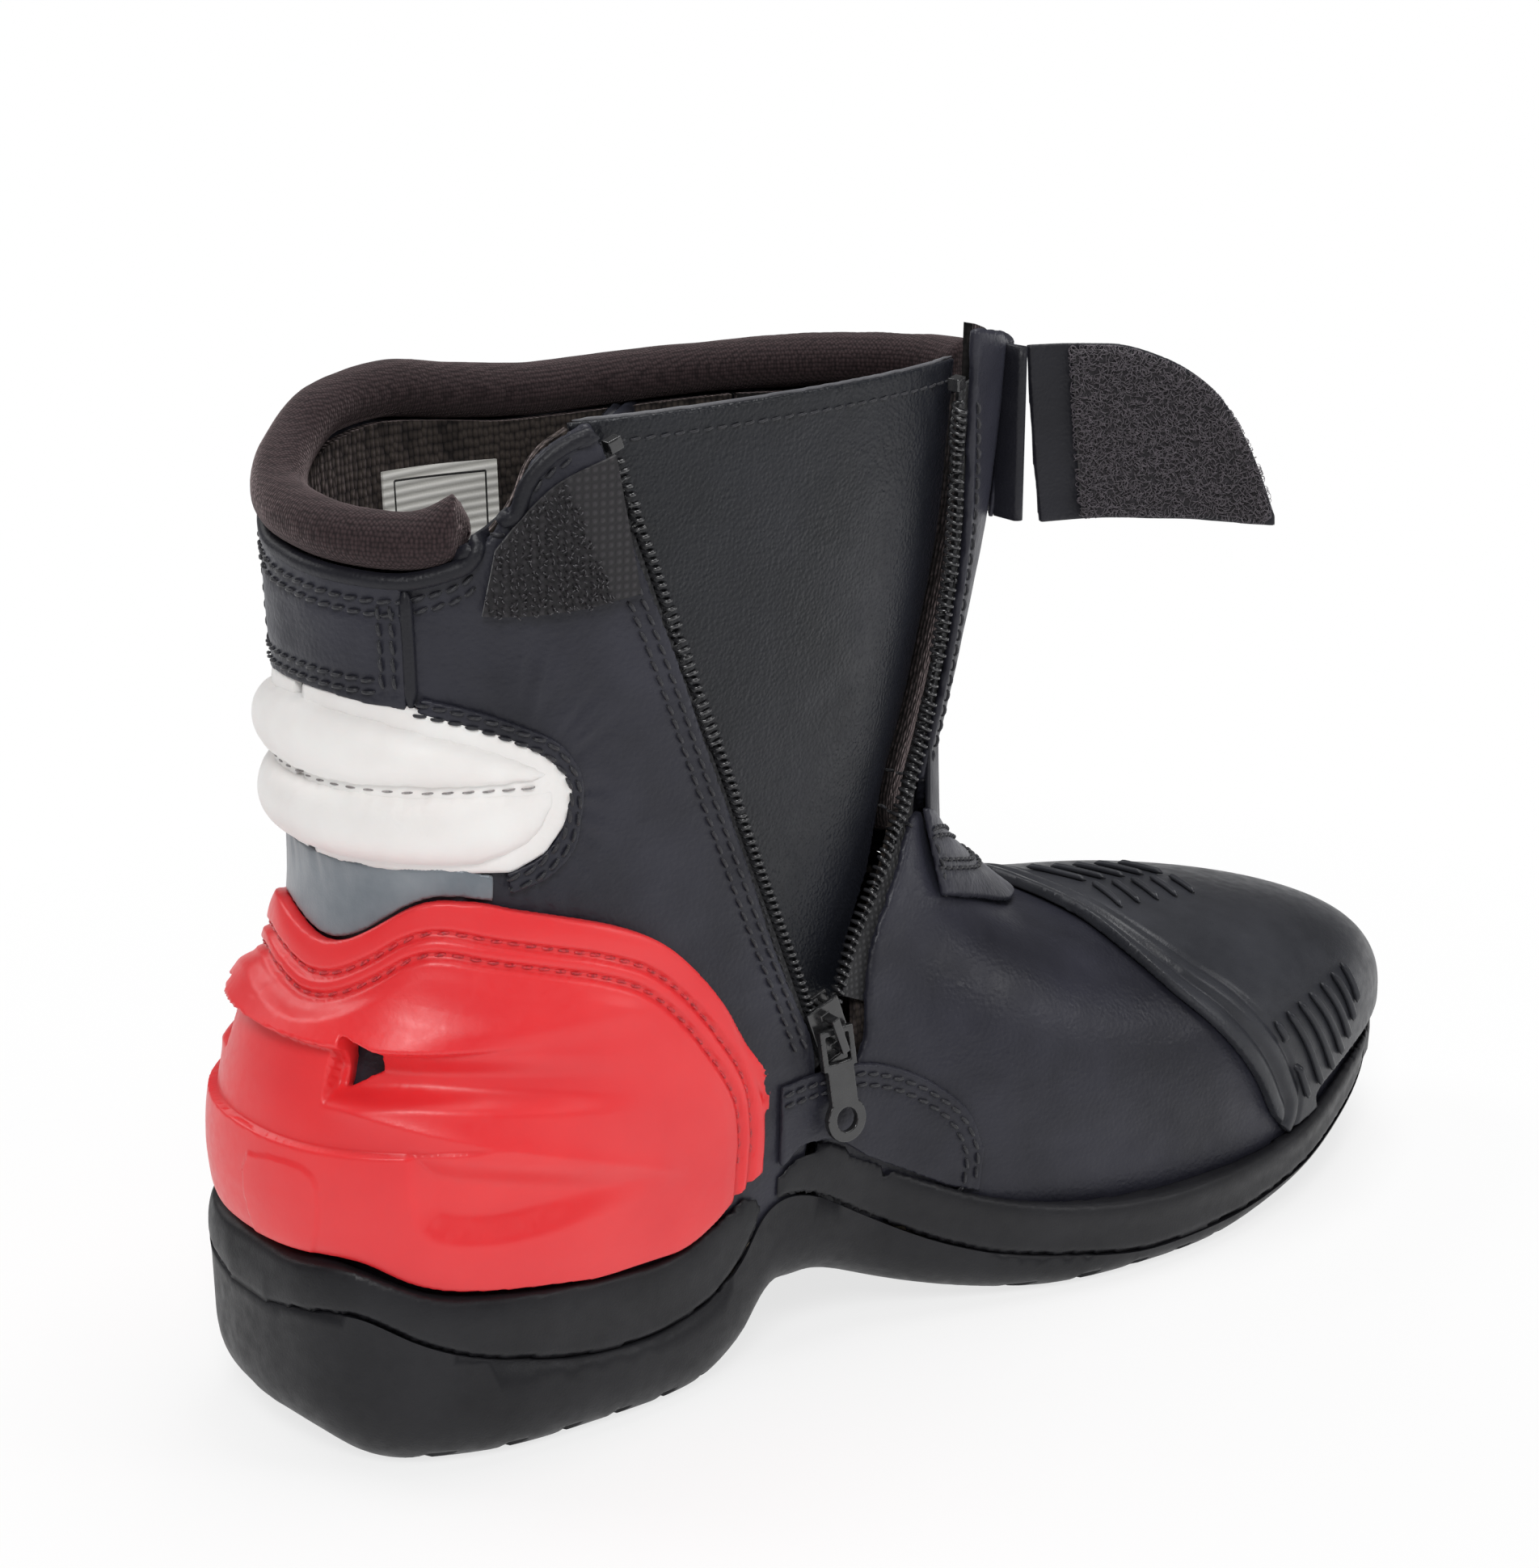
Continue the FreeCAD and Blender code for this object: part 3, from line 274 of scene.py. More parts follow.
def tube_verts(points, radius, sides, ups, verts, faces, flat=1.0):
    """Append a capped tube along points to verts and faces."""
    base = len(verts)
    n = len(points)
    for i, p in enumerate(points):
        ahead = (points[min(i + 1, n - 1)] - points[max(i - 1, 0)]).normalized()
        side = ahead.cross(ups[i]).normalized()
        lift = side.cross(ahead)
        r = radius[i] if isinstance(radius, (list, tuple)) else radius
        for k in range(sides):
            a = 2 * math.pi * k / sides
            verts.append(p + side * (r * math.cos(a)) + lift * (r * flat * math.sin(a)))
    for i in range(n - 1):
        for k in range(sides):
            a, b = base + i * sides + k, base + i * sides + (k + 1) % sides
            faces.append((a, b, b + sides, a + sides))
    faces.append(tuple(base + k for k in reversed(range(sides))))
    faces.append(tuple(base + (n - 1) * sides + k for k in range(sides)))


def tube(name, line, radius, lift=0.0, sides=10, flat=1.0):
    """Round cord or piping along a surface line; radius and lift in mm."""
    verts, faces = [], []
    points = [p + n * (lift * MM) for p, n in line]
    ups = [n for _, n in line]
    count = len(points)
    radii = [radius * MM * min(1.0, 0.35 + 0.3 * min(i, count - 1 - i)) for i in range(count)]
    tube_verts(points, radii, sides, ups, verts, faces, flat)
    return new_object(name, verts, faces)


def stitches(name, lines, body, slot, material, length=2.5, gap=0.75, thick=0.36, tilt=9.0):
    """Rows of sewn thread: short arched stitches sunk at both ends."""
    verts, faces = [], []
    for line in lines:
        pitch = length + gap
        steps = [(b[0] - a[0]).length / MM for a, b in zip(line, line[1:])]
        at, travelled = pitch / 2, 0.0
        for (p, n), (q, _), step in zip(line, line[1:], steps):
            while travelled + step > at:
                t = (at - travelled) / max(step, 1e-6)
                centre = p.lerp(q, t)
                ahead = (q - p).normalized()
                side = n.cross(ahead).normalized()
                turn = math.radians(tilt + random.uniform(-3, 3))
                ahead = ahead * math.cos(turn) + side * math.sin(turn)
                half = length / 2 * MM
                arch = [(-1.0, -0.3), (-0.72, 0.06), (-0.25, 0.22), (0.25, 0.22), (0.72, 0.06), (1.0, -0.3)]
                pts = [centre + ahead * (half * u) + n * (h * MM) for u, h in arch]
                tube_verts(pts, [thick * MM * k for k in (0.5, 0.9, 1.0, 1.0, 0.9, 0.5)], 6, [n] * 6,
                           verts, faces)
                at += pitch
            travelled += step
    obj = new_object(name, verts, faces)
    return finish_piece(obj, body, slot, material)


# ---- materials ---------------------------------------------------------------------
class Shader:
    """Small helper that wires a procedural material."""

    def __init__(self, name, color, roughness):
        self.mat = bpy.data.materials.new(name)
        self.mat.use_nodes = True
        self.nodes = self.mat.node_tree.nodes
        self.links = self.mat.node_tree.links
        self.bsdf = self.nodes["Principled BSDF"]
        self.bsdf.inputs["Base Color"].default_value = (*color, 1)
        self.bsdf.inputs["Roughness"].default_value = roughness
        self.coords = self.nodes.new("ShaderNodeTexCoord").outputs["Object"]
        self.height = None

    def put(self, name, value):
        self.bsdf.inputs[name].default_value = value

    def mapped(self, stretch):
        node = self.nodes.new("ShaderNodeMapping")
        node.inputs["Scale"].default_value = stretch
        self.links.new(self.coords, node.inputs["Vector"])
        return node.outputs["Vector"]

    def noise(self, size, detail=3.0, stretch=None, rough=0.55):
        """Noise whose features are about size mm."""
        node = self.nodes.new("ShaderNodeTexNoise")
        node.inputs["Scale"].default_value = 1000.0 / size
        node.inputs["Detail"].default_value = detail
        node.inputs["Roughness"].default_value = rough
        self.links.new(self.mapped(stretch) if stretch else self.coords, node.inputs["Vector"])
        return node.outputs["Fac"]

    def cells(self, size, feature="F1", stretch=None, randomness=1.0):
        node = self.nodes.new("ShaderNodeTexVoronoi")
        node.feature = feature
        node.inputs["Randomness"].default_value = randomness
        node.inputs["Scale"].default_value = 1000.0 / size
        self.links.new(self.mapped(stretch) if stretch else self.coords, node.inputs["Vector"])
        return node.outputs["Distance"]

    def wave(self, size, axis, distort=0.0, kind="BANDS"):
        node = self.nodes.new("ShaderNodeTexWave")
        node.wave_type = kind
        node.bands_direction = axis
        node.inputs["Scale"].default_value = 1000.0 / size / 20 * math.pi
        node.inputs["Distortion"].default_value = distort
        self.links.new(self.coords, node.inputs["Vector"])
        return node.outputs["Fac"]

    def ramp(self, value, stops):
        node = self.nodes.new("ShaderNodeValToRGB")
        ramp = node.color_ramp
        ramp.elements[0].position, ramp.elements[1].position = stops[0][0], stops[-1][0]
        ramp.elements[0].color, ramp.elements[1].color = (*stops[0][1], 1), (*stops[-1][1], 1)
        for place, color in stops[1:-1]:
            ramp.elements.new(place).color = (*color, 1)
        self.links.new(value, node.inputs["Fac"])
        return node.outputs["Color"]

    def span(self, value, low, high, to_low, to_high):
        node = self.nodes.new("ShaderNodeMapRange")
        for key, v in zip(("From Min", "From Max", "To Min", "To Max"), (low, high, to_low, to_high)):
            node.inputs[key].default_value = v
        self.links.new(value, node.inputs["Value"])
        return node.outputs["Result"]

    def math(self, kind, a, b):
        node = self.nodes.new("ShaderNodeMath")
        node.operation = kind
        for socket, v in zip(node.inputs, (a, b)):
            if isinstance(v, (int, float)):
                socket.default_value = v
            else:
                self.links.new(v, socket)
        return node.outputs[0]

    def color(self, value):
        self.links.new(value, self.bsdf.inputs["Base Color"])

    def rough(self, value):
        self.links.new(value, self.bsdf.inputs["Roughness"])

    def bump(self, value, depth, strength=1.0):
        """Add relief; depth in mm. Later calls stack on earlier ones."""
        node = self.nodes.new("ShaderNodeBump")
        node.inputs["Strength"].default_value = strength
        node.inputs["Distance"].default_value = depth * MM
        self.links.new(value, node.inputs["Height"])
        if self.height is not None:
            self.links.new(self.height, node.inputs["Normal"])
        self.height = node.outputs["Normal"]
        self.links.new(self.height, self.bsdf.inputs["Normal"])


def leather(name, dark, light, roughness, grain=0.9, relief=0.10, wrinkle=0.10):
    s = Shader(name, light, roughness)
    broad = s.noise(28, 4)
    s.color(s.ramp(broad, [(0.35, dark), (0.65, light)]))
    s.rough(s.span(s.noise(6, 4), 0.3, 0.7, roughness - 0.05, roughness + 0.09))
    s.bump(s.noise(9, 6, (0.45, 0.45, 1.6), 0.65), wrinkle * 2)
    s.bump(s.cells(grain, "SMOOTH_F1"), relief)
    s.bump(s.noise(0.35, 2), relief * 0.35)
    s.put("Sheen Weight", 0.05)
    s.put("Sheen Roughness", 0.5)
    s.put("Sheen Tint", (0.55, 0.58, 0.8, 1))
    s.put("Specular IOR Level", 0.34)
    return s.mat


def rubber(name, color, roughness):
    s = Shader(name, color, roughness)
    lighter = tuple(c * 1.5 + 0.004 for c in color)
    s.color(s.ramp(s.noise(20, 5), [(0.35, color), (0.7, lighter)]))
    s.rough(s.span(s.noise(3, 4), 0.3, 0.7, roughness - 0.06, roughness + 0.08))
    s.bump(s.noise(0.5, 3), 0.05)
    s.put("Specular IOR Level", 0.3)
    return s.mat


def red_plastic():
    s = Shader("cup_red_tpu", (0.86, 0.03, 0.035), 0.36)
    s.color(s.ramp(s.noise(30, 3), [(0.3, (0.80, 0.022, 0.03)), (0.7, (0.88, 0.04, 0.045))]))
    s.rough(s.span(s.noise(2.0, 4), 0.3, 0.7, 0.34, 0.46))
    s.bump(s.noise(0.6, 3), 0.02)
    s.put("Subsurface Weight", 0.35)
    s.put("Subsurface Radius", (1.0, 0.12, 0.1))
    s.put("Subsurface Scale", 0.004)
    s.put("Coat Weight", 0.15)
    s.put("Coat Roughness", 0.35)
    return s.mat


def pad_leather():
    s = Shader("pad_white", (0.9, 0.87, 0.85), 0.5)
    s.color(s.ramp(s.noise(22, 3), [(0.35, (0.86, 0.82, 0.80)), (0.65, (0.93, 0.91, 0.89))]))
    s.rough(s.span(s.noise(4, 3), 0.3, 0.7, 0.46, 0.58))
    s.bump(s.cells(0.8, "SMOOTH_F1"), 0.03)
    s.bump(s.noise(5, 4), 0.12)
    s.put("Subsurface Weight", 0.1)
    s.put("Subsurface Radius", (1.0, 0.7, 0.6))
    s.put("Subsurface Scale", 0.002)
    s.put("Sheen Weight", 0.1)
    return s.mat


def band_fabric():
    s = Shader("band_grey", (0.2, 0.225, 0.25), 0.42)
    s.color(s.ramp(s.noise(12, 4), [(0.35, (0.16, 0.185, 0.21)), (0.7, (0.24, 0.265, 0.29))]))
    s.bump(s.noise(0.45, 2), 0.05)
    s.bump(s.noise(4, 4, (1, 1, 0.4)), 0.2)
    s.put("Metallic", 0.25)
    s.put("Sheen Weight", 0.2)
    return s.mat


def knit(name, dark, light, size, relief, rough=0.85):
    """Fine warp knit: rows of small loops."""
    s = Shader(name, dark, rough)
    loops = s.cells(size, "F1", (1, 1, 0.7), 0.35)
    s.color(s.ramp(loops, [(0.25, light), (0.7, dark)]))
    s.bump(s.span(loops, 0.0, 0.8, 1.0, 0.0), relief)
    s.bump(s.noise(7, 3), 0.15)
    s.put("Sheen Weight", 0.35)
    s.put("Sheen Roughness", 0.4)
    s.put("Sheen Tint", (0.75, 0.6, 0.6, 1))
    s.put("Specular IOR Level", 0.25)
    return s.mat


def woven(name, dark, light, size, rough=0.8):
    """Plain weave of narrow tape."""
    s = Shader(name, dark, rough)
    across = s.wave(size, "X", 0.4)
    down = s.wave(size, "Z", 0.4)
    weave = s.math("MULTIPLY", across, down)
    s.color(s.ramp(weave, [(0.1, dark), (0.8, light)]))
    s.bump(weave, size * 0.2)
    s.bump(s.noise(0.4, 3), 0.06)
    s.put("Sheen Weight", 0.25)
    return s.mat


def label_fabric():
    s = Shader("label_white", (0.75, 0.74, 0.7), 0.7)
    ribs = s.wave(0.9, "Z")
    s.color(s.ramp(ribs, [(0.1, (0.62, 0.61, 0.57)), (0.7, (0.84, 0.83, 0.79))]))
    s.bump(ribs, 0.15)
    s.bump(s.noise(0.5, 2), 0.05)
    return s.mat


def metal_paint(name, color, roughness):
    s = Shader(name, color, roughness)
    s.rough(s.span(s.noise(1.5, 4), 0.3, 0.7, roughness - 0.06, roughness + 0.1))
    s.color(s.ramp(s.noise(3, 5), [(0.3, color), (0.8, tuple(c * 1.6 + 0.01 for c in color))]))
    s.bump(s.noise(0.8, 3), 0.015)
    s.put("Coat Weight", 0.6)
    s.put("Coat Roughness", 0.12)
    return s.mat


def thread(name, color, rough=0.5):
    s = Shader(name, color, rough)
    dark = tuple(c * 0.6 for c in color)
    light = tuple(c * 1.5 for c in color)
    s.color(s.ramp(s.noise(0.6, 2), [(0.3, dark), (0.7, light)]))
    s.bump(s.wave(0.35, "DIAGONAL"), 0.08)
    s.put("Sheen Weight", 0.15)
    return s.mat


def floor_white():
    """Pale matt floor that turns into an evenly lit white sweep further out."""
    s = Shader("floor_pale", (0.92, 0.92, 0.92), 0.8)
    s.put("Specular IOR Level", 0.1)
    length = s.nodes.new("ShaderNodeVectorMath")
    length.operation = "DISTANCE"
    length.inputs[1].default_value = (0.1, 0, 0)
    s.links.new(s.coords, length.inputs[0])
    glow = s.span(length.outputs["Value"], 0.12, 0.34, 0.75, 1.0)
    white = s.nodes.new("ShaderNodeEmission")
    mix = s.nodes.new("ShaderNodeMixShader")
    s.links.new(glow, mix.inputs["Fac"])
    s.links.new(s.bsdf.outputs["BSDF"], mix.inputs[1])
    s.links.new(white.outputs["Emission"], mix.inputs[2])
    s.links.new(mix.outputs["Shader"], s.nodes["Material Output"].inputs["Surface"])
    return s.mat


LEATHER = leather("leather_navy", (0.012, 0.012, 0.018), (0.025, 0.025, 0.036), 0.42)
LEATHER_EDGE = leather("leather_edge", (0.006, 0.006, 0.009), (0.012, 0.012, 0.017), 0.45, 0.7, 0.08, 0.05)
# Gusset leather: darker partly as its own grained tone and partly as painted shade of its recess behind the
# zip chains.
GRAINED_WITH_PAINTED_SHADE = leather("leather_grained_painted_shade", (0.004, 0.005, 0.007), (0.010, 0.011, 0.015), 0.36, 0.75, 0.2, 0.06)
TOE_PLASTIC = rubber("toe_moulded", (0.024, 0.025, 0.030), 0.36)
OUTSOLE = rubber("rubber_outsole", (0.007, 0.007, 0.009), 0.46)
MIDSOLE = rubber("rubber_midsole", (0.009, 0.009, 0.011), 0.45)
RED = red_plastic()
PAD = pad_leather()
BAND = band_fabric()
COLLAR = knit("collar_knit_brown", (0.012, 0.007, 0.008), (0.045, 0.028, 0.030), 0.62, 0.2)
LINING = knit("lining_mesh_brown", (0.004, 0.003, 0.003), (0.050, 0.040, 0.034), 1.25, 0.5, 0.9)
# Near-black front lining: painted shade, a dark sheet where the gap between gusset and front zip chain lies
# in shadow.
LINING_PAINTED_SHADE = knit("lining_mesh_painted_shade", (0.003, 0.003, 0.003), (0.012, 0.011, 0.011), 1.25, 0.4, 0.9)
FOOTBED = knit("footbed_knit", (0.012, 0.011, 0.011), (0.05, 0.047, 0.046), 1.1, 0.3, 0.9)
HOOKS = metal_paint("hook_fibre", (0.02, 0.018, 0.022), 0.35)
HOOK_BASE = woven("hook_base", (0.008, 0.007, 0.009), (0.025, 0.022, 0.026), 0.8)
LOOPS = thread("loop_fibre", (0.11, 0.095, 0.11), 0.5)
LOOP_BASE = woven("loop_base", (0.012, 0.010, 0.013), (0.03, 0.026, 0.032), 0.9)
TAPE = woven("zip_tape_black", (0.008, 0.008, 0.010), (0.028, 0.028, 0.032), 0.7)
COIL = metal_paint("zip_coil_black", (0.016, 0.016, 0.018), 0.24)
METAL = metal_paint("zip_metal_black", (0.012, 0.012, 0.013), 0.2)
THREAD = thread("thread_black", (0.014, 0.014, 0.019))
RED_THREAD = thread("thread_red", (0.55, 0.03, 0.04), 0.42)
SEAM_THREAD = thread("thread_grey", (0.28, 0.26, 0.26))
LABEL = label_fabric()
LABEL_INK = rubber("label_border", (0.02, 0.02, 0.02), 0.7)
RAW_EDGE = leather("leather_cut_edge", (0.10, 0.10, 0.11), (0.18, 0.18, 0.19), 0.8, 0.6, 0.1, 0.02)
BOARD = rubber("board_grey", (0.35, 0.3, 0.22), 0.8)
FOAM = rubber("foam_cream", (0.6, 0.56, 0.48), 0.85)
STEEL = metal_paint("spring_steel", (0.4, 0.4, 0.42), 0.3)


# ---- trees used for placing trim ------------------------------------------------------
ON_LEATHER = tree_of(LEATHER_NODES + ["back_tab", "medial_patch", "pad_binding"])
ON_SHAFT = tree_of(LEATHER_NODES)
ON_TOE = tree_of(["toe_cap"])
ON_GUSSET = tree_of(["gusset"])


def plain_cad():
    """CAD nodes whose shape is already right get their finish here."""
    finishes = {
        "shank": STEEL, "insole_board": BOARD, "footbed": FOOTBED, "toe_puff": BOARD,
        "heel_counter": BOARD, "ankle_pad_medial": FOAM, "ankle_pad_lateral": FOAM,
        # lining_front gets the near-black lining as painted shade in the gap beside the front chain.
        "lining_medial": LINING, "lining_lateral": LINING, "lining_front": LINING_PAINTED_SHADE,
        "lining_foot": LINING, "zip_tape_rear": TAPE, "zip_tape_front": TAPE,
        "outsole": OUTSOLE, "size_label": LABEL, "hook_patch": HOOK_BASE, "strap_loop_face": LOOP_BASE,
    }
    for name, material in finishes.items():
        cad[name].data.materials.clear()
        cad[name].data.materials.append(material)


# ---- leather upper --------------------------------------------------------------------
CHAIN_LOW, CHAIN_HIGH = (69.1, 62.0), (16.5, 193.0)
COLLAR_PHI = [-178, -170, -150, -120, -90, -65, -45, -28, -12, 0, 12, 24, 33, 37]
COLLAR_Z = [190, 190, 189.5, 189, 191, 193.5, 192.5, 187, 181.5, 180, 179, 178.5, 180.5, 182.6]
FREE_EDGE = [(41, 184.0), (46, 183.6), (49, 189.8), (54, 194.2), (60, 196.8)]


def behind_chain(gap, low=66, high=190, count=7):
    """Points on the leather a gap behind the rear zip chain, in the SIDE chart."""
    out = []
    for t in np.linspace(0, 1, count):
        z = low + (high - low) * t
        f = (z - CHAIN_LOW[1]) / (CHAIN_HIGH[1] - CHAIN_LOW[1])
        out.append((CHAIN_LOW[0] + (CHAIN_HIGH[0] - CHAIN_LOW[0]) * f - gap / 0.93, z))
    return out


FRONT_CHAIN = [(89, 99), (96, 107), (101, 116), (104, 127), (106, 142), (107, 160), (106, 176), (104, 190)]


def before_chain(gap):
    return [(x + gap, z) for x, z in FRONT_CHAIN[1:]]


def collar_line(drop, phi_low=-178, phi_high=37):
    points = [(p, z - drop) for p, z in zip(COLLAR_PHI, COLLAR_Z) if phi_low <= p <= phi_high]
    return points


FOLD_ROOT = (-0.5, 5.3)      # from the strap's pivot to where its folded leather comes off the shin
BINDING_INNER = [(25.5, 146), (35, 143.8), (44, 140.5), (52, 137), (57, 131), (55.5, 123.5), (49, 117.8),
                 (42, 115.6)]
BINDING_OUTER = [(26.5, 150), (36, 147.6), (46, 144), (56, 139.4), (61.5, 131), (59.5, 120.5), (51, 113.8),
                 (43, 111.6)]
PATCH_EDGE = [(54, 60.5), (64, 60.5), (76, 59.5), (86, 56), (94, 51), (100.5, 44.5), (104, 36), (103.5, 27)]


def between_lines(inner, outer, t):
    return [(a[0] + (b[0] - a[0]) * t, a[1] + (b[1] - a[1]) * t) for a, b in zip(inner, outer)]


def patch_line(inset):
    """The patch's curved edge moved inwards, towards its lower back corner."""
    out = []
    for x, z in PATCH_EDGE:
        dx, dz = 58 - x, 24 - z
        size = math.hypot(dx, dz)
        out.append((x + dx / size * inset, z + dz / size * inset))
    return out


def leather_rows():
    """Every stitched line on the leather, as lines of (place, normal)."""
    rows = []
    for gap in (5.6, 8.2):
        rows.append(line_on(ON_SHAFT, SIDE, behind_chain(gap)))
    rows.append(line_on(ON_SHAFT, SIDE, before_chain(5.4)))
    for drop in (10.2, 12.6):
        rows.append(line_on(ON_LEATHER, WRAP, collar_line(drop)))
    rows.append(line_on(ON_SHAFT, WRAP, [(p, z - 3.6) for p, z in FREE_EDGE]))
    for phi in (20.4, 22.7, -20.4, -22.7):
        rows.append(line_on(ON_LEATHER, WRAP, [(phi, 151.5), (phi, 158), (phi, 167)]))
    for lift in (1.7, 4.0):
        low = [(-19, 149.2), (-10, 149.6), (0, 149.8), (10, 149.6), (19, 149.2)]
        rows.append(line_on(ON_LEATHER, WRAP, [(p, z + lift) for p, z in low]))
    for way in (1, -1):
        for t in (0.28, 0.78):
            line = between_lines(BINDING_INNER, BINDING_OUTER, t)
            rows.append(line_on(ON_LEATHER, WRAP, [(way * p, z) for p, z in line]))
    for inset in (2.0, 4.4):
        rows.append(line_on(ON_LEATHER, SIDE, patch_line(inset)))
    rows += throat_rows()
    for phi in (-149.5, -154.5):
        rows.append(line_on(ON_SHAFT, WRAP, [(phi, 118), (phi, 140), (phi, 160), (phi, 178)]))
    for gap in (2.2, 4.6):
        rows.append(line_on(ON_SHAFT, OUTER, [(62 - gap, 40), (66 - gap, 58), (76 - gap, 76), (86 - gap, 92),
                                              (98 - gap, 106)]))
    return rows


def throat_rows():
    """Two double rows over the instep, where shin panel and vamp are joined."""
    tree = tree_of(["instep_strip"])
    rows = []
    upper = [(107, -32, 113), (114, -22, 106), (121, -12, 99), (125, 0, 96), (121, 12, 99), (114, 22, 106),
             (108, 30, 113)]
    lower = [(103, -34, 100), (116, -25, 92), (129, -13, 85), (134, 0, 83), (129, 13, 85), (117, 24, 92),
             (107, 32, 100)]
    for t in (0.12, 0.3, 0.78, 0.94):
        line = [tuple(np.array(a) + (np.array(b) - a) * t) for a, b in zip(upper, lower)]
        rows.append(line_on(tree, TOWARDS_INSTEP, line))
    return rows


def instep_underlay():
    """Leather under the instep strip, up behind the lower edge of the shin panel."""
    strip, shin = tree_of(["instep_strip"]), tree_of(["shin_panel"])
    lower = [(106.5, -30, 109), (113.5, -21, 103), (119.5, -12, 97.5), (123, 0, 94), (119.5, 12, 97.5),
             (113.5, 21, 103), (108, 30, 110)]
    ends = smooth_line(lower, 6)
    tops = np.linspace(162, 200, len(ends))
    verts, faces = [], []
    rows = 12
    for phi, b in zip(tops, ends):
        (start, out_a), (end, out_b) = WRAP(shin, phi, 120), TOWARDS_INSTEP(strip, *b)
        start = start - out_a * (0.9 * MM)
        end = end - out_b * (1.1 * MM)
        for t in np.linspace(0, 1, rows):
            place = start.lerp(end, t)
            verts += [place, place - out_a.lerp(out_b, t).normalized() * (0.9 * MM)]
    for i in range(len(tops) - 1):
        for k in range(rows - 1):
            a = (i * rows + k) * 2
            c = a + 2 * rows
            faces += [(a, a + 2, c + 2, c), (a + 1, c + 1, c + 3, a + 3)]
    rim = [k for k in range(rows)] + [i * rows + rows - 1 for i in range(1, len(tops))]
    rim += [(len(tops) - 1) * rows + k for k in range(rows - 2, -1, -1)]
    rim += [i * rows for i in range(len(tops) - 2, 0, -1)]
    for a, b in zip(rim, rim[1:] + rim[:1]):
        faces.append((2 * b, 2 * a, 2 * a + 1, 2 * b + 1))
    obj = new_object("instep_underlay", verts, faces)
    finish_piece(obj, "boot", "smooth_leather", LEATHER_EDGE)


def upper_leather(rows):
    """Panels with softened edges, slow waves, and a furrow under each stitch row."""
    voxels = {"vamp": 1.25, "medial_quarter": 0.95, "lateral_quarter": 1.15, "shin_panel": 0.95,
              "medial_patch": 0.5, "back_tab": 0.6, "pad_binding": 0.5, "strap_base": 0.5,
              "instep_strip": 0.55}
    for node, voxel in voxels.items():
        piece = skin_of(node, node + "_skin", voxel)
        lumps(piece, 34, 0.22, seed=len(node))
        lumps(piece, 9, 0.09, (0.6, 0.6, 1.4), seed=len(node) + 3)
        crease(piece, rows, -0.32, 1.1)
        if node in ("medial_quarter", "lateral_quarter"):
            pucker(piece)
        finish_piece(piece, "boot", "smooth_leather", LEATHER, node)


def pucker(piece):
    """Short wrinkles that run out from the pad surround and up the flank."""
    co = coords(piece)
    phi = np.degrees(np.arctan2(-co[:, 1], AXIS_X * MM - co[:, 0]))
    z = co[:, 2] / MM
    centre_z = 131.0
    angle = np.arctan2(z - centre_z, (np.abs(phi) - 44) * 0.95)
    reach = np.hypot((z - centre_z) / 1.15, (np.abs(phi) - 44) * 0.95)
    fade = np.exp(-((reach - 19) / 7.5)**2)
    ripple = np.array([noise.noise(Vector((a * 9.0, r * 0.05, 3.1))) for a, r in zip(angle, reach)])
    move_out(piece, ripple * fade * 0.55)


def collar():
    """Padded knit roll and the leather piping under it."""
    roll = skin_of("collar_roll", "collar_padded", 1.1)
    lumps(roll, 26, 0.5, seed=2.0)
    lumps(roll, 7, 0.14, seed=5.0)
    co = coords(roll)
    phi = np.degrees(np.arctan2(-co[:, 1], AXIS_X * MM - co[:, 0]))
    tuck = step_up(phi, 33.5, 38) * (phi < 60)
    move_out(roll, -3.4 * tuck)
    finish_piece(roll, "boot", "collar_knit", COLLAR, "collar_roll")
    edge = line_on(ON_SHAFT, WRAP, collar_line(6.8) + [(40, 182.2), (43.5, 188.0)], 1.2)
    piping = tube("collar_piping", edge, 1.7, 0.5, 10)
    finish_piece(piping, "boot", "smooth_leather", LEATHER_EDGE)
    free = line_on(ON_SHAFT, WRAP, [(p, z - 0.6) for p, z in FREE_EDGE] + [(66, 197.6)], 1.0)
    binding = tube("quarter_binding", free, 1.5, 0.2, 10, 0.8)
    finish_piece(binding, "boot", "smooth_leather", LEATHER_EDGE)


def back_tab_seams():
    """Raised fold down each side of the back tab."""
    for name, way in (("medial", 1), ("lateral", -1)):
        line = line_on(ON_SHAFT, WRAP, [(way * 24.6, 148.4), (way * 24.6, 158), (way * 24.5, 170.5)], 1.0)
        fold = tube("back_tab_seam_" + name, line, 1.3, 0.9, 10, 0.9)
        finish_piece(fold, "boot", "smooth_leather", LEATHER_EDGE)


# ---- Achilles pads and band ---------------------------------------------------------------
def inflate(piece, pressure, cap):
    """Let a pad swell under its own filling, no further than cap mm."""
    start = coords(piece)
    cloth = piece.modifiers.new("cloth", "CLOTH")
    cloth.settings.quality = 4
    cloth.settings.mass = 0.2
    cloth.settings.tension_stiffness = 12
    cloth.settings.compression_stiffness = 12
    cloth.settings.bending_stiffness = 0.4
    cloth.settings.use_pressure = True
    cloth.settings.uniform_pressure_force = pressure
    cloth.settings.effector_weights.gravity = 0
    cloth.collision_settings.use_collision = False
    cloth.point_cache.frame_end = 20
    for step in range(1, 21):
        bpy.context.scene.frame_set(step)
    applied(piece)
    bpy.context.scene.frame_set(1)
    moved = coords(piece) - start
    size = np.linalg.norm(moved, axis=1)
    keep = np.minimum(1.0, cap * MM / np.maximum(size, 1e-9))
    piece.data.vertices.foreach_set("co", (start + moved * keep[:, None]).ravel())
    piece.data.update()


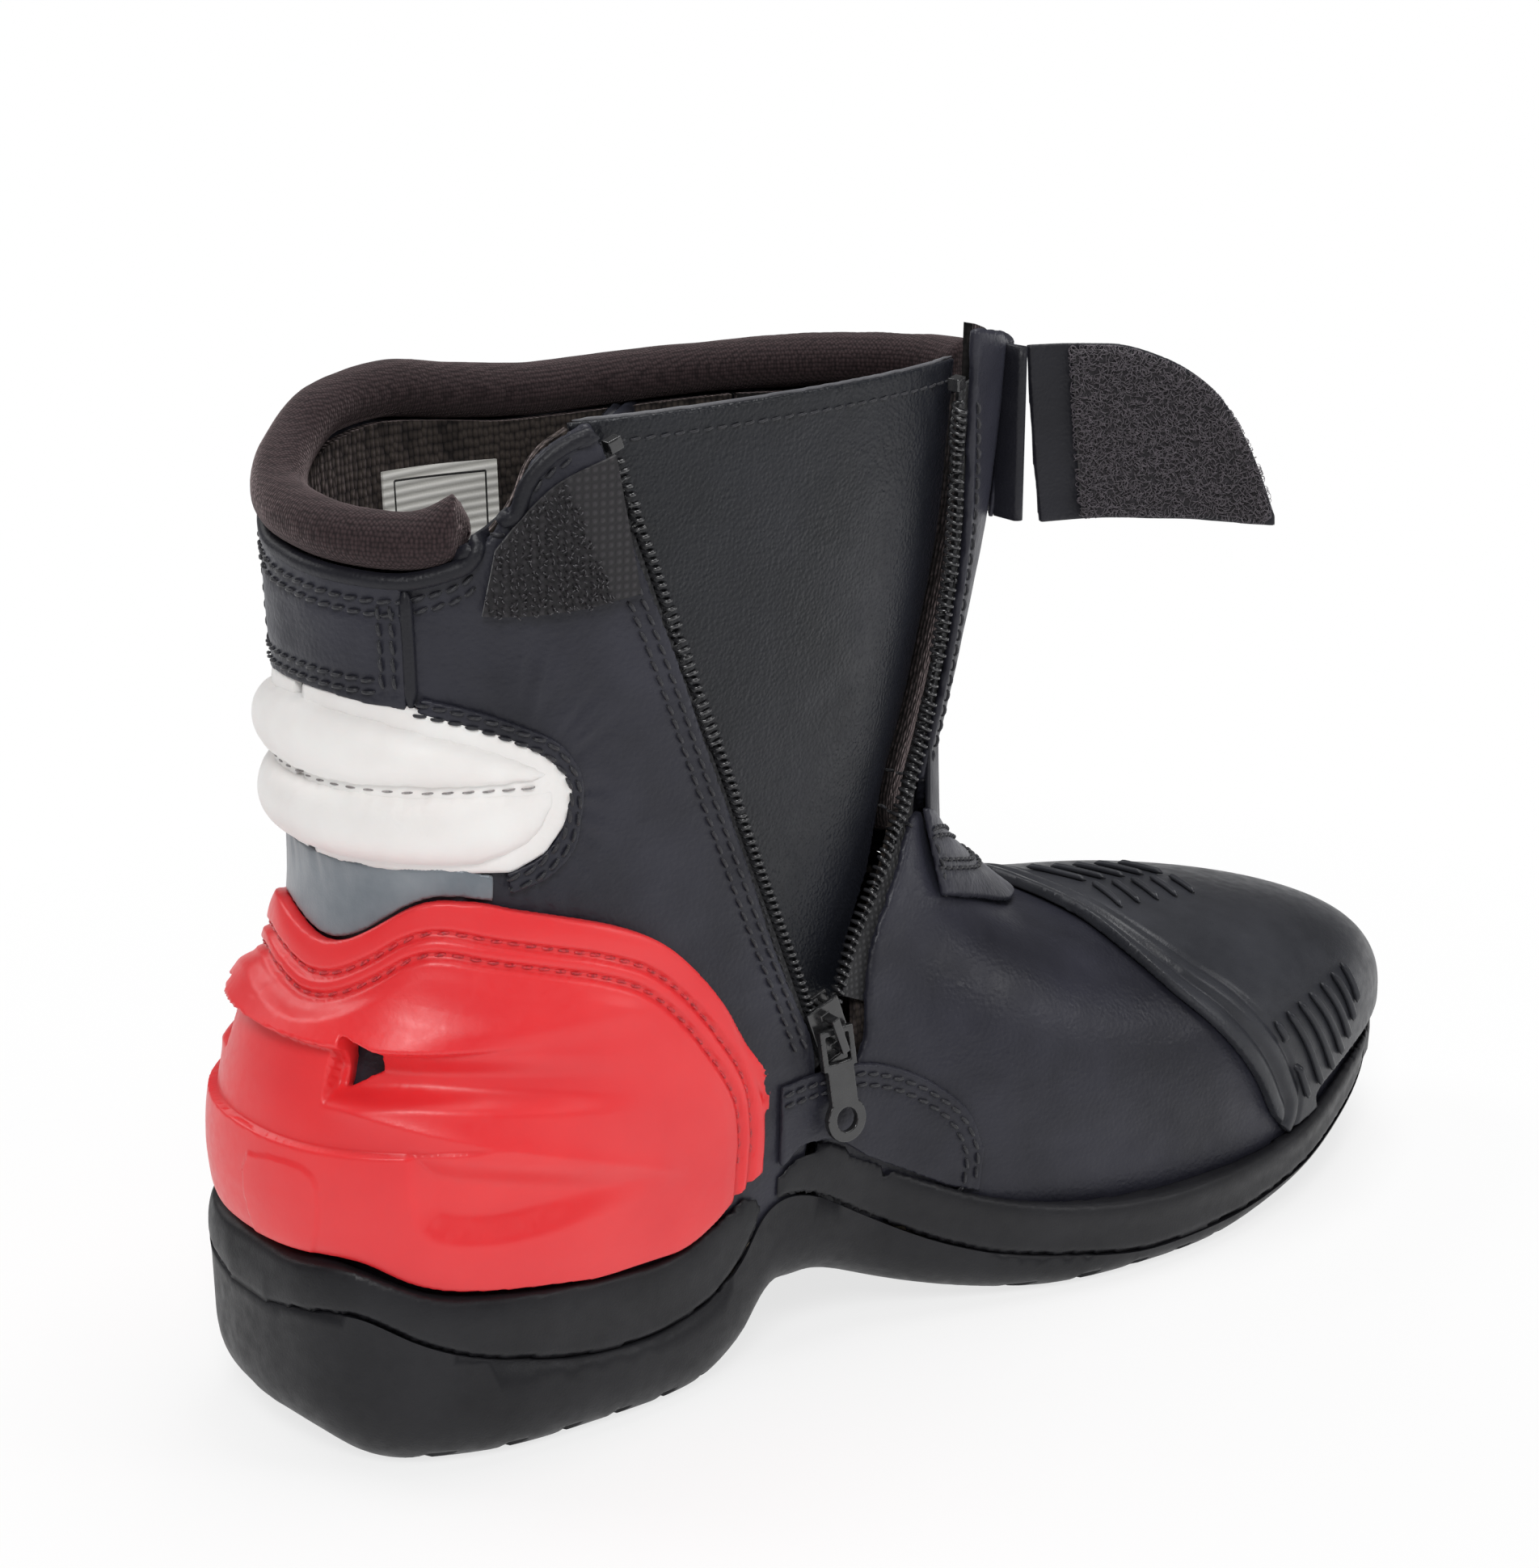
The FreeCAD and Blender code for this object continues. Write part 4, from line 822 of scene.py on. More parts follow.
def pads():
    for node in ("achilles_pad_upper", "achilles_pad_lower"):
        pad = skin_of(node, node + "_soft", 1.6)
        inflate(pad, 3.0, 0.7)
        pad.modifiers.new("finer", "SUBSURF").levels = 1
        applied(pad)
        lumps(pad, 24, 0.35, seed=len(node))
        gathers(pad)
        pad.data.polygons.foreach_set("use_smooth", [True] * len(pad.data.polygons))
        finish_piece(pad, "boot", "white_pad", PAD, node)
    pad_backing()
    on_skin = line_on(ON_SHAFT, WRAP, [(-52, 132.5), (-30, 132.5), (0, 132.5), (30, 132.5), (52, 132.5)])
    cord = tube("pad_seam", on_skin, 1.1, 1.0, 8)
    finish_piece(cord, "boot", "white_pad", PAD)
    raised = [(p + n * (2.35 * MM), n) for p, n in on_skin]
    stitches("pad_seam_stitches", [raised], "boot", "white_pad", SEAM_THREAD, 2.6, 1.1, 0.22, 4)


PAD_BACK_PHI = [0, 11, 20, 26, 34, 43, 51, 56, 58.5]
PAD_BACK_TOP = [150.4, 150.2, 149.4, 148, 145.5, 142.3, 138.4, 134.8, 132.5]
PAD_BACK_LOW = [116.6, 116.6, 116.6, 116.6, 116.2, 115.8, 119, 124, 130.5]


def pad_backing():
    """White leather under the pads, out to the binding, padded a little."""
    verts, faces = [], []
    phis = np.linspace(-58.5, 58.5, 118)
    rows = 44
    for level in (0.35, 1.0):
        for phi in phis:
            top = np.interp(abs(phi), PAD_BACK_PHI, PAD_BACK_TOP)
            low = np.interp(abs(phi), PAD_BACK_PHI, PAD_BACK_LOW)
            for t in np.linspace(0, 1, rows):
                place, normal = WRAP(ON_SHAFT, phi, low + (top - low) * t)
                swell = 1.5 * math.sin(math.pi * t)**0.5 * (1 - abs(phi / 60)**6) if level > 0.5 else 0.0
                verts.append(place + normal * ((level + swell) * MM))
    count = len(phis) * rows
    for i in range(len(phis) - 1):
        for k in range(rows - 1):
            a = i * rows + k
            faces.append((a, a + 1, a + rows + 1, a + rows))
            faces.append((count + a, count + a + rows, count + a + rows + 1, count + a + 1))
    rim = [k for k in range(rows)]
    rim += [i * rows + rows - 1 for i in range(1, len(phis))]
    rim += [(len(phis) - 1) * rows + k for k in range(rows - 2, -1, -1)]
    rim += [i * rows for i in range(len(phis) - 2, 0, -1)]
    for a, b in zip(rim, rim[1:] + rim[:1]):
        faces.append((b, a, count + a, count + b))
    obj = new_object("pad_backing", verts, faces)
    finish_piece(obj, "boot", "white_pad", PAD)


def gathers(pad):
    """Small pulls in the white leather beside its sewn seam."""
    co = coords(pad)
    phi = np.degrees(np.arctan2(-co[:, 1], AXIS_X * MM - co[:, 0]))
    near = np.exp(-((co[:, 2] / MM - 132.5) / 3.2)**2)
    ripple = np.array([noise.noise(Vector((p * 0.55, 1.3, 0.2))) for p in phi])
    move_out(pad, ripple * near * 0.35)


def heel_band():
    band = skin_of("heel_band", "heel_band_cloth", 0.5)
    co = coords(band)
    phi = np.degrees(np.arctan2(-co[:, 1], AXIS_X * MM - co[:, 0]))
    z = co[:, 2] / MM
    high = np.clip((z - 108) / 9, 0, 1)
    ripple = np.array([noise.noise(Vector((p * 0.34 + h * 0.12, h * 0.03, 8))) for p, h in zip(phi, z)])
    move_out(band, ripple * high * 0.55)
    finish_piece(band, "boot", "grey_fabric", BAND, "heel_band")


# ---- heel cup -----------------------------------------------------------------------------
CUP_EDGE = [(-117.5, 36), (-117.5, 48), (-117.2, 57), (-115, 66), (-108, 77), (-97, 86), (-84, 92.5),
            (-69, 96), (-56, 97.5), (-42, 98), (-30, 99.5), (-20, 102.5), (-12, 104), (-6, 103.2),
            (0, 101.6), (5, 100.9), (10, 101.8), (16, 105), (22, 109), (28, 111), (34, 110.8),
            (42, 109), (56, 106), (69, 103), (84, 98), (97, 90), (108, 79), (115, 67), (117.2, 57),
            (117.5, 48), (117.5, 36)]
UPPER_SCOOP = [(13, 85.4), (30, 84.5), (50, 82.5), (70, 79), (88, 74), (88, 67), (70, 68), (48, 71.5),
               (30, 74), (13, 74.4)]
LOWER_SCOOP = [(30, 66), (40, 63), (58, 58.5), (82, 53), (64, 50), (50, 48.5), (40, 48.5), (32, 52)]
MID_RIDGE = [(15, 74), (23, 72.5), (36, 68.5), (56, 62), (76, 55.5), (92, 50)]
EMBLEM_PLATE = [(3, 44), (2.6, 60), (15.5, 61), (14, 44)]      # a plain raised panel, left unmarked
GROOVES = (5.6, 9.4)


def arc_table():
    """Arc length round the cup against wrap angle, at mid height."""
    places = [WRAP(ON_SHAFT, phi, 60)[0] for phi in range(0, 109, 3)]
    steps = [(b - a).length / MM * 1.07 for a, b in zip(places, places[1:])]
    table = list(zip(range(0, 109, 3), np.concatenate([[0], np.cumsum(steps)])))
    last = table[-1][1] - table[-2][1]
    return np.array(table + [(120, table[-1][1] + last * 5)])


def unrolled(phi, table):
    return np.sign(phi) * np.interp(np.abs(phi), table[:, 0], table[:, 1])


def to_outline(x, z, outline, table, closed=True):
    """Distance in mm to a line in the wrap chart; with closed, positive inside it."""
    points = outline + outline[:1] if closed else outline
    flat = [(float(unrolled(p, table)), h) for p, h in smooth_line(points, 5)]
    best = np.full(len(x), 1e9)
    inside = np.zeros(len(x), bool)
    for (x0, z0), (x1, z1) in zip(flat, flat[1:]):
        dx, dz = x1 - x0, z1 - z0
        t = np.clip(((x - x0) * dx + (z - z0) * dz) / max(dx * dx + dz * dz, 1e-9), 0, 1)
        best = np.minimum(best, np.hypot(x - x0 - t * dx, z - z0 - t * dz))
        if closed:
            inside ^= ((z0 > z) != (z1 > z)) & (x < dx * (z - z0) / (dz if dz else 1e-9) + x0)
    return np.where(inside, best, -best) if closed else best


def step_up(value, low, high):
    t = np.clip((value - low) / (high - low), 0, 1)
    return t * t * (3 - 2 * t)


def cup():
    """Moulded heel cup: lip and twin sewn grooves, fins at the back, scoops on the flanks."""
    shell = skin_of("heel_cup", "heel_cup_moulded", 0.5)
    table = arc_table()
    heights, ways = stand_off(shell, ON_SHAFT)
    co = coords(shell)
    turn = np.degrees(np.arctan2(-co[:, 1], AXIS_X * MM - co[:, 0]))
    phi = np.abs(turn)
    x, z = unrolled(phi, table), co[:, 2] / MM
    d = to_outline(unrolled(turn, table), z, CUP_EDGE, table, closed=False)
    away = step_up(d, 10.4, 14.0)
    offset = 0.3 * np.exp(-(d / 3.8)**4)
    for groove in GROOVES:
        offset -= 1.1 * np.exp(-((d - groove) / 0.9)**4)
    offset += 0.3 * away
    back = 1 - step_up(phi, 16, 52)
    flare = np.clip((100 - z) / 15.5, 0, 1)**1.6
    above = step_up(z, 83.9, 84.5)
    offset += away * back * (3.4 * flare * above - 0.2 * (1 - above))
    offset += away * back * 1.7 * (1 - step_up(z, 65.6, 66.3)) * step_up(z, 36, 56)
    offset += away * (1 - back) * (1 - step_up(phi, 40, 95)) * 0.8 * np.exp(-((z - 87) / 3)**2)
    upper = to_outline(x, z, UPPER_SCOOP, table)
    offset -= step_up(upper, -0.3, 4.6) * 4.2 * (1 - step_up(phi, 18, 82)) * step_up(phi, 14.6, 15.4)
    lower = to_outline(x, z, LOWER_SCOOP, table)
    offset -= step_up(lower, -2.0, 4.5) * 3.2 * (1 - step_up(phi, 44, 84))
    ridge = to_outline(x, z, MID_RIDGE, table, closed=False)
    offset += 1.0 * np.exp(-ridge / 2.6) * step_up(phi, 14, 22) * (1 - step_up(phi, 78, 90))
    plate = to_outline(x, z, EMBLEM_PLATE, table)
    offset += 0.4 * step_up(plate, -0.4, 0.3) * (turn > 0)
    move_along(shell, ways, offset * np.clip((heights - 0.8) / 2.6, 0, 1))
    finish_piece(shell, "boot", "red_tpu", RED, "heel_cup")
    stitches("cup_stitches", cup_rows(shell, table), "boot", "red_tpu", RED_THREAD, 2.4, 0.9, 0.3, 7)


def cup_rows(shell, table):
    """Lines in the cup's sewn grooves, a given distance inside its top edge."""
    tree = tree_of([shell.name])
    flat = np.array([(float(unrolled(p, table)), z) for p, z in smooth_line(CUP_EDGE[1:-1], 5)])
    ahead = np.gradient(flat, axis=0)
    ahead /= np.linalg.norm(ahead, axis=1)[:, None]
    rows = []
    for groove in GROOVES:
        inner = flat + np.stack([ahead[:, 1], -ahead[:, 0]], axis=1) * groove
        near = to_outline(inner[:, 0], inner[:, 1], CUP_EDGE, table, closed=False)
        row = []
        for (u, z), d in zip(inner, -near):
            if abs(d) > groove - 0.25 and z > 44:
                phi = math.copysign(float(np.interp(abs(u), table[:, 1], table[:, 0])), u)
                row.append(WRAP(tree, phi, z))
        rows.append(row)
    return rows


# ---- toe cap ---------------------------------------------------------------------------------
TOE_EDGE = [(184, -50, 24), (177, -51, 36), (167, -48, 49), (158, -42, 59), (152, -28, 69), (151, 0, 73),
            (153, 26, 68), (158, 40, 58), (167, 46, 47), (177, 46, 34), (185, 44, 24)]
FOOT_LEAN = -6              # the toe's middle lies this far to the inner side, twice over
# the lines that the seven ribs run between
RIB_TOPS = [(184.5, -47, 46), (200, -44, 48.5), (217, -36, 49)]
RIB_ENDS = [(197, -47, 24.5), (213, -43, 29.5), (221, -38, 39)]
SLOT_TOPS = [(169, -4, 70), (193, -4, 66.5)]
SLOT_ENDS = [(164, -19, 69), (189.5, -16, 65.5)]


def shared_out(points, count):
    """Evenly spaced places along a line."""
    line = np.array(smooth_line(points, 20)) if len(points) > 2 else np.array(points, float)
    at = np.linspace(0, 1, len(line))
    return [tuple(np.interp(t, at, line[:, k]) for k in range(3)) for t in np.linspace(0, 1, count)]


def toe_ribs():
    """Slim moulded ribs on both flanks of the toe and short ones over its top."""
    verts, faces = [], []
    for tops, ends, count, radius in ((RIB_TOPS, RIB_ENDS, 7, 0.85), (SLOT_TOPS, SLOT_ENDS, 5, 0.7)):
        for a, b in zip(shared_out(tops, count), shared_out(ends, count)):
            for way in (1, -1):
                pair = [np.array(p) * (1, way, 1) + (0, FOOT_LEAN if way < 0 else 0, 0) for p in (a, b)]
                middle = (pair[0] + pair[1]) / 2
                line = line_on(ON_TOE, SPACE, [tuple(pair[0]), tuple(middle), tuple(pair[1])], 0.6)
                if len(line) < 6:
                    continue
                taper = [min(1.0, 0.25 + k / 3, 0.25 + (len(line) - 1 - k) / 3) for k in range(len(line))]
                points = [p + n * ((0.35 + 0.35 * t) * MM) for (p, n), t in zip(line, taper)]
                tube_verts(points, [radius * MM * t for t in taper], 8, [n for _, n in line], verts, faces)
    obj = new_object("toe_ribs", verts, faces)
    finish_piece(obj, "boot", "moulded_toe", TOE_PLASTIC)


def toe_cap():
    """Moulded toe: a double rim along its edge."""
    cap = skin_of("toe_cap", "toe_cap_moulded", 0.5)
    tree = tree_of(["vamp"])
    heights, ways = stand_off(cap, tree)

    d = distances(cap, [line_on(tree, SPACE, TOE_EDGE, 0.6)], 14.0)
    offset = 0.8 * np.exp(-((d - 2.2) / 2.2)**4)
    offset -= 0.8 * np.exp(-((d - 5.6) / 0.9)**2)
    offset += 0.5 * np.exp(-((d - 8.0) / 1.6)**4)
    offset -= 0.5 * np.exp(-((d - 10.6) / 0.8)**2)
    move_along(cap, ways, offset * np.clip((heights - 0.5) / 1.0, 0, 1))
    finish_piece(cap, "boot", "moulded_toe", TOE_PLASTIC, "toe_cap")


# ---- sole -------------------------------------------------------------------------------------
def near_to(obj, names, reach):
    """Distance in mm from each vertex to the nearest of some CAD nodes."""
    tree = tree_of(names)
    out = np.full(len(obj.data.vertices), 999.0)
    for i, c in enumerate(coords(obj)):
        found = tree.find_nearest(Vector(c), reach * MM)
        if found[0] is not None:
            out[i] = found[3] / MM
    return out


def welt():
    """Upper strip of the sole, with a worked line along the outsole."""
    strip = skin_of("midsole", "midsole_strip", 0.9)
    d = near_to(strip, ["outsole"], 4.0)
    sideways = np.abs(normals(strip)[:, 2]) < 0.8
    move_out(strip, np.where(sideways, -0.75 * np.exp(-(d / 0.9)**2), 0.0))
    lumps(strip, 40, 0.15, seed=1.0)
    finish_piece(strip, "boot", "midsole_rubber", MIDSOLE, "midsole")


TOE_PLAN = [(226, -35.5), (236, -29), (242, -23.5), (249, -15), (253, -8), (255.2, -0.5), (253, 7.5),
            (249, 13.5), (242, 21), (236, 26), (226, 32.5)]


def toe_bumper():
    """Rubber lip that closes the sole wall round the tip of the toe."""
    line = np.array(smooth_line(TOE_PLAN, 8), float)
    ahead = np.gradient(line, axis=0)
    ahead /= np.linalg.norm(ahead, axis=1)[:, None]
    verts, faces = [], []
    for i, ((x, y), (u, v)) in enumerate(zip(line, ahead)):
        low = np.interp(x, [215, 240, 262], [13, 21, 28]) - 0.4
        high = np.interp(x, [218, 240, 262], [24, 30, 33]) + 0.3
        sunk = 1.6 * (1 - min(1.0, i / 9, (len(line) - 1 - i) / 9))
        section = ((-0.5, low), (0.15, low + 1.0), (0.3, (low + high) / 2), (0.1, high - 0.9),
                   (-0.7, high), (-3.0, high), (-3.0, low))
        for out, z in section:
            verts.append(Vector((x + v * (out - sunk), y - u * (out - sunk), z)) * MM)
    count = 7
    for i in range(len(line) - 1):
        for k in range(count):
            a, b = i * count + k, i * count + (k + 1) % count
            faces.append((a, b, b + count, a + count))
    faces.append(tuple(reversed(range(count))))
    faces.append(tuple((len(line) - 1) * count + k for k in range(count)))
    obj = new_object("toe_bumper", verts, faces)
    finish_piece(obj, "boot", "midsole_rubber", MIDSOLE)


def tread_cutters():
    """Bars that cut the tread: chevrons under heel and forefoot, notches at the edges."""
    mesh = bmesh.new()

    def bar(x, y, turn, length, width, low, high):
        made = bmesh.ops.create_cube(mesh, size=1.0)["verts"]
        bmesh.ops.scale(mesh, verts=made, vec=(length * MM, width * MM, (high - low) * MM))
        bmesh.ops.rotate(mesh, verts=made, cent=(0, 0, 0),
                         matrix=Matrix.Rotation(math.radians(turn), 3, "Z"))
        bmesh.ops.translate(mesh, verts=made, vec=Vector((x, y, (low + high) / 2)) * MM)

    for i in range(6):
        x = -26 + 11.5 * i
        for way in (1, -1):
            bar(x, way * 27, way * 62, 46, 3.2, -1, 2.6)
    for i in range(9):
        x = 106 + 12 * i
        depth = 2.6 + max(0.0, (x - 165) * 0.02)
        for way in (1, -1):
            bar(x, way * 32, way * 58, 58, 3.4, -1, depth)
    cutter = bpy.data.meshes.new("tread_cutters")
    mesh.to_mesh(cutter)
    mesh.free()
    obj = bpy.data.objects.new("tread_cutters", cutter)
    bpy.context.scene.collection.objects.link(obj)
    return obj


def outsole():
    sole = bpy.data.objects.new("outsole_treaded", cad["outsole"].data.copy())
    bpy.context.scene.collection.objects.link(sole)
    cutter = tread_cutters()
    cut = sole.modifiers.new("tread", "BOOLEAN")
    cut.object = cutter
    cut.operation = "DIFFERENCE"
    cut.solver = "EXACT"
    cut.use_self = True
    applied(sole)
    bpy.data.objects.remove(cutter)
    sole.data.polygons.foreach_set("use_smooth", [True] * len(sole.data.polygons))
    sole.data.set_sharp_from_angle(angle=math.radians(32))
    finish_piece(sole, "boot", "sole_rubber", OUTSOLE, "outsole")


# ---- zip ----------------------------------------------------------------------------------------
def centre_line(node, step):
    """Middle points along a long thin CAD piece, from low to high."""
    co = coords(cad[node])
    order = np.argsort(co[:, 2])
    co = co[order]
    levels = np.arange(co[0, 2] + 0.3 * MM, co[-1, 2] - 0.2 * MM, step * MM)
    points = []
    for z in levels:
        near = co[np.abs(co[:, 2] - z) < 1.6 * MM]
        if len(near):
            points.append(near.mean(axis=0))
    pts = np.array(points)
    kernel = np.array([1, 2, 3, 2, 1]) / 9
    inner = np.array([np.convolve(pts[:, k], kernel, "valid") for k in range(3)]).T
    return [Vector(p) for p in np.vstack([pts[:1], inner, pts[-1:]])]


def along_line(points, step):
    out, left = [], 0.0
    for a, b in zip(points, points[1:]):
        span = (b - a).length / MM
        at = left
        while at < span:
            out.append((a.lerp(b, at / span), (b - a).normalized()))
            at += step
        left = at - span
    return out


def coil(name, node, pitch=1.75, turn_points=14):
    """Nylon coil: one long helix flattened against its tape."""
    tree = ON_SHAFT
    spine = along_line(centre_line(node, 2.5), pitch / turn_points)
    verts, faces, points, ups = [], [], [], []
    for i, (p, ahead) in enumerate(spine):
        _, out, _, _ = tree.find_nearest(p)
        out = facing(out, Vector((0, -1, 0)))
        side = ahead.cross(out).normalized()
        lift = side.cross(ahead)
        a = 2 * math.pi * i / turn_points
        points.append(p + side * (1.45 * MM * math.cos(a)) + lift * (0.95 * MM * math.sin(a)))
        ups.append((side * math.cos(a) + lift * math.sin(a)).normalized())
    tube_verts(points, 0.42 * MM, 6, ups, verts, faces)
    return finish_piece(new_object(name, verts, faces), "boot", "zip_coil", COIL, node)


def rounded(node, body, slot, material, voxel=0.2, relax=5):
    """Cast or moulded small part: the CAD shape with its edges worn round."""
    piece = skin_of(node, node + "_cast", voxel, snap=False, relax=relax)
    return finish_piece(piece, body, slot, material, node)


def zipper():
    coil("zip_coil_rear_helix", "zip_coil_rear")
    coil("zip_coil_front_helix", "zip_coil_front")
    for name in ("zip_stop_rear", "zip_stop_front", "zip_stop_low"):
        rounded(name, "boot", "zip_metal", METAL)
    rounded("zip_slider", "slider", "zip_metal", METAL, 0.16, 4)
    rounded("zip_pull", "pull", "zip_metal", METAL, 0.16, 5)
    rows = []
    for node, way in (("zip_tape_rear", -1), ("zip_tape_front", 1)):
        line = centre_line("zip_coil_" + node.split("_")[-1], 3.0)
        out = []
        tree = tree_of([node])
        for p in line[2:]:
            place, normal, _, _ = tree.find_nearest(p + Vector((way * 2.6, -1.2, 0)) * MM)
            out.append((place, facing(normal, Vector((0, -1, 0)))))
        rows.append(out)
    stitches("zip_tape_stitches", rows, "boot", "zip_tape", THREAD, 1.6, 0.6, 0.22, 3)


# ---- gusset ---------------------------------------------------------------------------------------
def gusset():
    """Soft grained leather bellows behind the zip, with a cut edge and one stitch row at its top."""
    sheet = skin_of("gusset", "gusset_leather", 0.7)
    co = coords(sheet)
    low, high = co.min(axis=0), co.max(axis=0)
    s = np.clip((co[:, 0] - low[0]) / (high[0] - low[0]), 0, 1)
    t = np.clip((co[:, 2] - low[2]) / (high[2] - low[2]), 0, 1)
    folds = np.array([noise.noise(Vector((a * 2.2 + b * 0.8, b * 1.6, 4.4))) for a, b in zip(s, t)])
    push = folds * 1.2 * np.sin(np.pi * np.clip(s, 0, 1)) * np.sin(np.pi * np.clip(t, 0, 1))
    shift = np.zeros_like(co)
    shift[:, 1] = push * MM
    sheet.data.vertices.foreach_set("co", (co + shift).ravel())
    sheet.data.update()
    # The gusset's leather colour carries painted shade of its recess, on top of its own darker tone.
    finish_piece(sheet, "boot", "grained_leather", GRAINED_WITH_PAINTED_SHADE, "gusset")
    top = rim_line(ON_GUSSET)
    edge = [(p + Vector((0, 0, 0.2)) * MM, n) for p, n in top]
    cut = tube("gusset_cut_edge", edge, 0.4, 0.0, 8, 0.5)
    finish_piece(cut, "boot", "grained_leather", RAW_EDGE)
    tree = tree_of([sheet.name])
    row = []
    for p, n in top:
        place, normal = from_ray(tree, Vector((p.x, -0.16, p.z - 4.2 * MM)), Vector((0, 1, 0)))
        row.append((place, normal))
    stitches("gusset_stitches", [row], "boot", "grained_leather", THREAD, 2.4, 0.8, 0.3, 6)


def rim_line(tree):
    """Top edge of the gusset, followed from the rear to the front chain."""
    box_low, box_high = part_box("gusset")
    out = []
    for x in np.arange(box_low[0] + 1.5 * MM, box_high[0] - 1.5 * MM, 1.5 * MM):
        best = None
        for y in np.arange(-0.045, -0.012, 0.0004):
            place = tree.ray_cast(Vector((x, y, 0.24)), Vector((0, 0, -1)), 0.12)[0]
            if place is not None and (best is None or place.z > best.z):
                best = place
        if best is not None and best.z > 0.165:
            out.append((best, Vector((0, -1, 0))))
    return out


# ---- hook and loop -----------------------------------------------------------------------------------
def hook_field():
    """Rows of small bent hooks on the patch behind the zip."""
    tree, chain = tree_of(["hook_patch"]), tree_of(["zip_coil_rear"])
    verts, faces = [], []
    for phi in np.arange(40.5, 78, 1.55):
        for z in np.arange(165.5, 193, 1.25):
            place, normal, _, _ = tree.ray_cast(*outside_ray(phi + random.uniform(-0.4, 0.4),
                                                             z + random.uniform(-0.3, 0.3)))
            if place is None or chain.find_nearest(place, 11 * MM)[0] is not None:
                continue
            normal = facing(normal, Vector((0, -1, 0)))
            way = Vector((random.uniform(-1, 1), 0, random.uniform(-1, 1)))
            way = (way - normal * way.dot(normal)).normalized()
            pts = [place + normal * (h * MM) + way * (w * MM)
                   for h, w in ((-0.2, 0), (0.75, 0.05), (1.15, 0.3), (1.1, 0.65), (0.8, 0.8))]
            tube_verts(pts, 0.16 * MM, 4, [way.cross(normal)] * 5, verts, faces)
    obj = new_object("hook_field", verts, faces)
    finish_piece(obj, "boot", "hook_tape", HOOKS)


def outside_ray(phi, z):
    a = math.radians(phi)
    way = Vector((math.cos(a), math.sin(a), 0))
    return Vector((AXIS_X, 0, z)) * MM - way * 0.2, way, 0.3


def loop_field():
    """Curled fibres on the strap's fastening face."""
    face = cad["strap_loop_face"]
    mesh = face.data
    mesh.calc_loop_triangles()
    co = coords(face)
    strap_tree = tree_of(["strap"])
    corners = np.array([t.vertices for t in mesh.loop_triangles])
    a, b, c = co[corners[:, 0]], co[corners[:, 1]], co[corners[:, 2]]
    cross = np.cross(b - a, c - a)
    area = np.linalg.norm(cross, axis=1) / 2
    unit = cross / np.maximum(np.linalg.norm(cross, axis=1), 1e-12)[:, None]
    middle = (a + b + c) / 3
    outer = []
    for m, n in zip(middle, unit):
        hit = strap_tree.ray_cast(Vector(m) + Vector(n) * 1e-5, Vector(n), 0.004)
        outer.append(hit[0] is None)
    area = area * np.array(outer)
    rng = np.random.default_rng(11)
    picks = rng.choice(len(area), 3400, p=area / area.sum())
    u, v = rng.random((2, len(picks)))
    flip = u + v > 1
    u, v = np.where(flip, 1 - u, u), np.where(flip, 1 - v, v)
    verts, faces = [], []
    for k, s, t in zip(picks, u, v):
        base = Vector(a[k] + (b[k] - a[k]) * s + (c[k] - a[k]) * t)
        n = Vector(unit[k])
        way = Vector(rng.normal(size=3))
        way = (way - n * way.dot(n)).normalized()
        other = n.cross(way)
        size = rng.uniform(0.5, 1.0)
        lean = rng.uniform(-0.5, 0.5)
        pts = []
        for q in range(7):
            ang = math.pi * (q / 6 * 1.15 - 0.07)
            pts.append(base + way * (-math.cos(ang) * size * MM) + n * ((math.sin(ang) * 0.95 - 0.1) * MM)
                       + other * (lean * math.sin(ang) * MM))
        tube_verts(pts, 0.075 * MM, 3, [other] * 7, verts, faces)
    obj = new_object("loop_field", verts, faces)
    finish_piece(obj, "strap", "loop_tape", LOOPS)


def strap():
    piece = skin_of("strap", "strap_leather", 0.55)
    lumps(piece, 12, 0.18, seed=4.0)
    finish_piece(piece, "strap", "smooth_leather", LEATHER_EDGE, "strap")
    tree = tree_of(["strap"])
    ahead, across = strap_ways()
    pivot = joint_place("strap_fold")
    co = coords(cad["strap"])
    along = (co - np.array(pivot)) @ np.array(ahead) / MM
    rows = [[], []]
    for t in np.arange(5.0, 26.0, 1.2):
        near = co[np.abs(along - t) < 1.6][:, 2]
        for row, z in zip(rows, (near.max() - 2.4 * MM, near.min() + 2.2 * MM)):
            start = Vector((pivot.x, pivot.y, z)) + ahead * (t * MM) + across * 0.03
            place, normal, _, _ = tree.ray_cast(start, -across, 0.06)
            if place is not None:
                row.append((place, facing(normal, across)))
    stitches("strap_stitches", rows, "strap", "smooth_leather", THREAD, 2.4, 0.8, 0.3, 6)


def joint_place(name):
    return Vector(next(j for j in frame["joints"] if j["name"] == name)["pos_m"])


def strap_ways():
    """Level directions along the open strap and out of its smooth face."""
    pivot = joint_place("strap_fold")
    co = coords(cad["strap"])
    tip = Vector(co[np.argmax(np.hypot(co[:, 0] - pivot.x, co[:, 1] - pivot.y))]) - pivot
    ahead = Vector((tip.x, tip.y, 0)).normalized()
    return ahead, Vector((-ahead.y, ahead.x, 0))


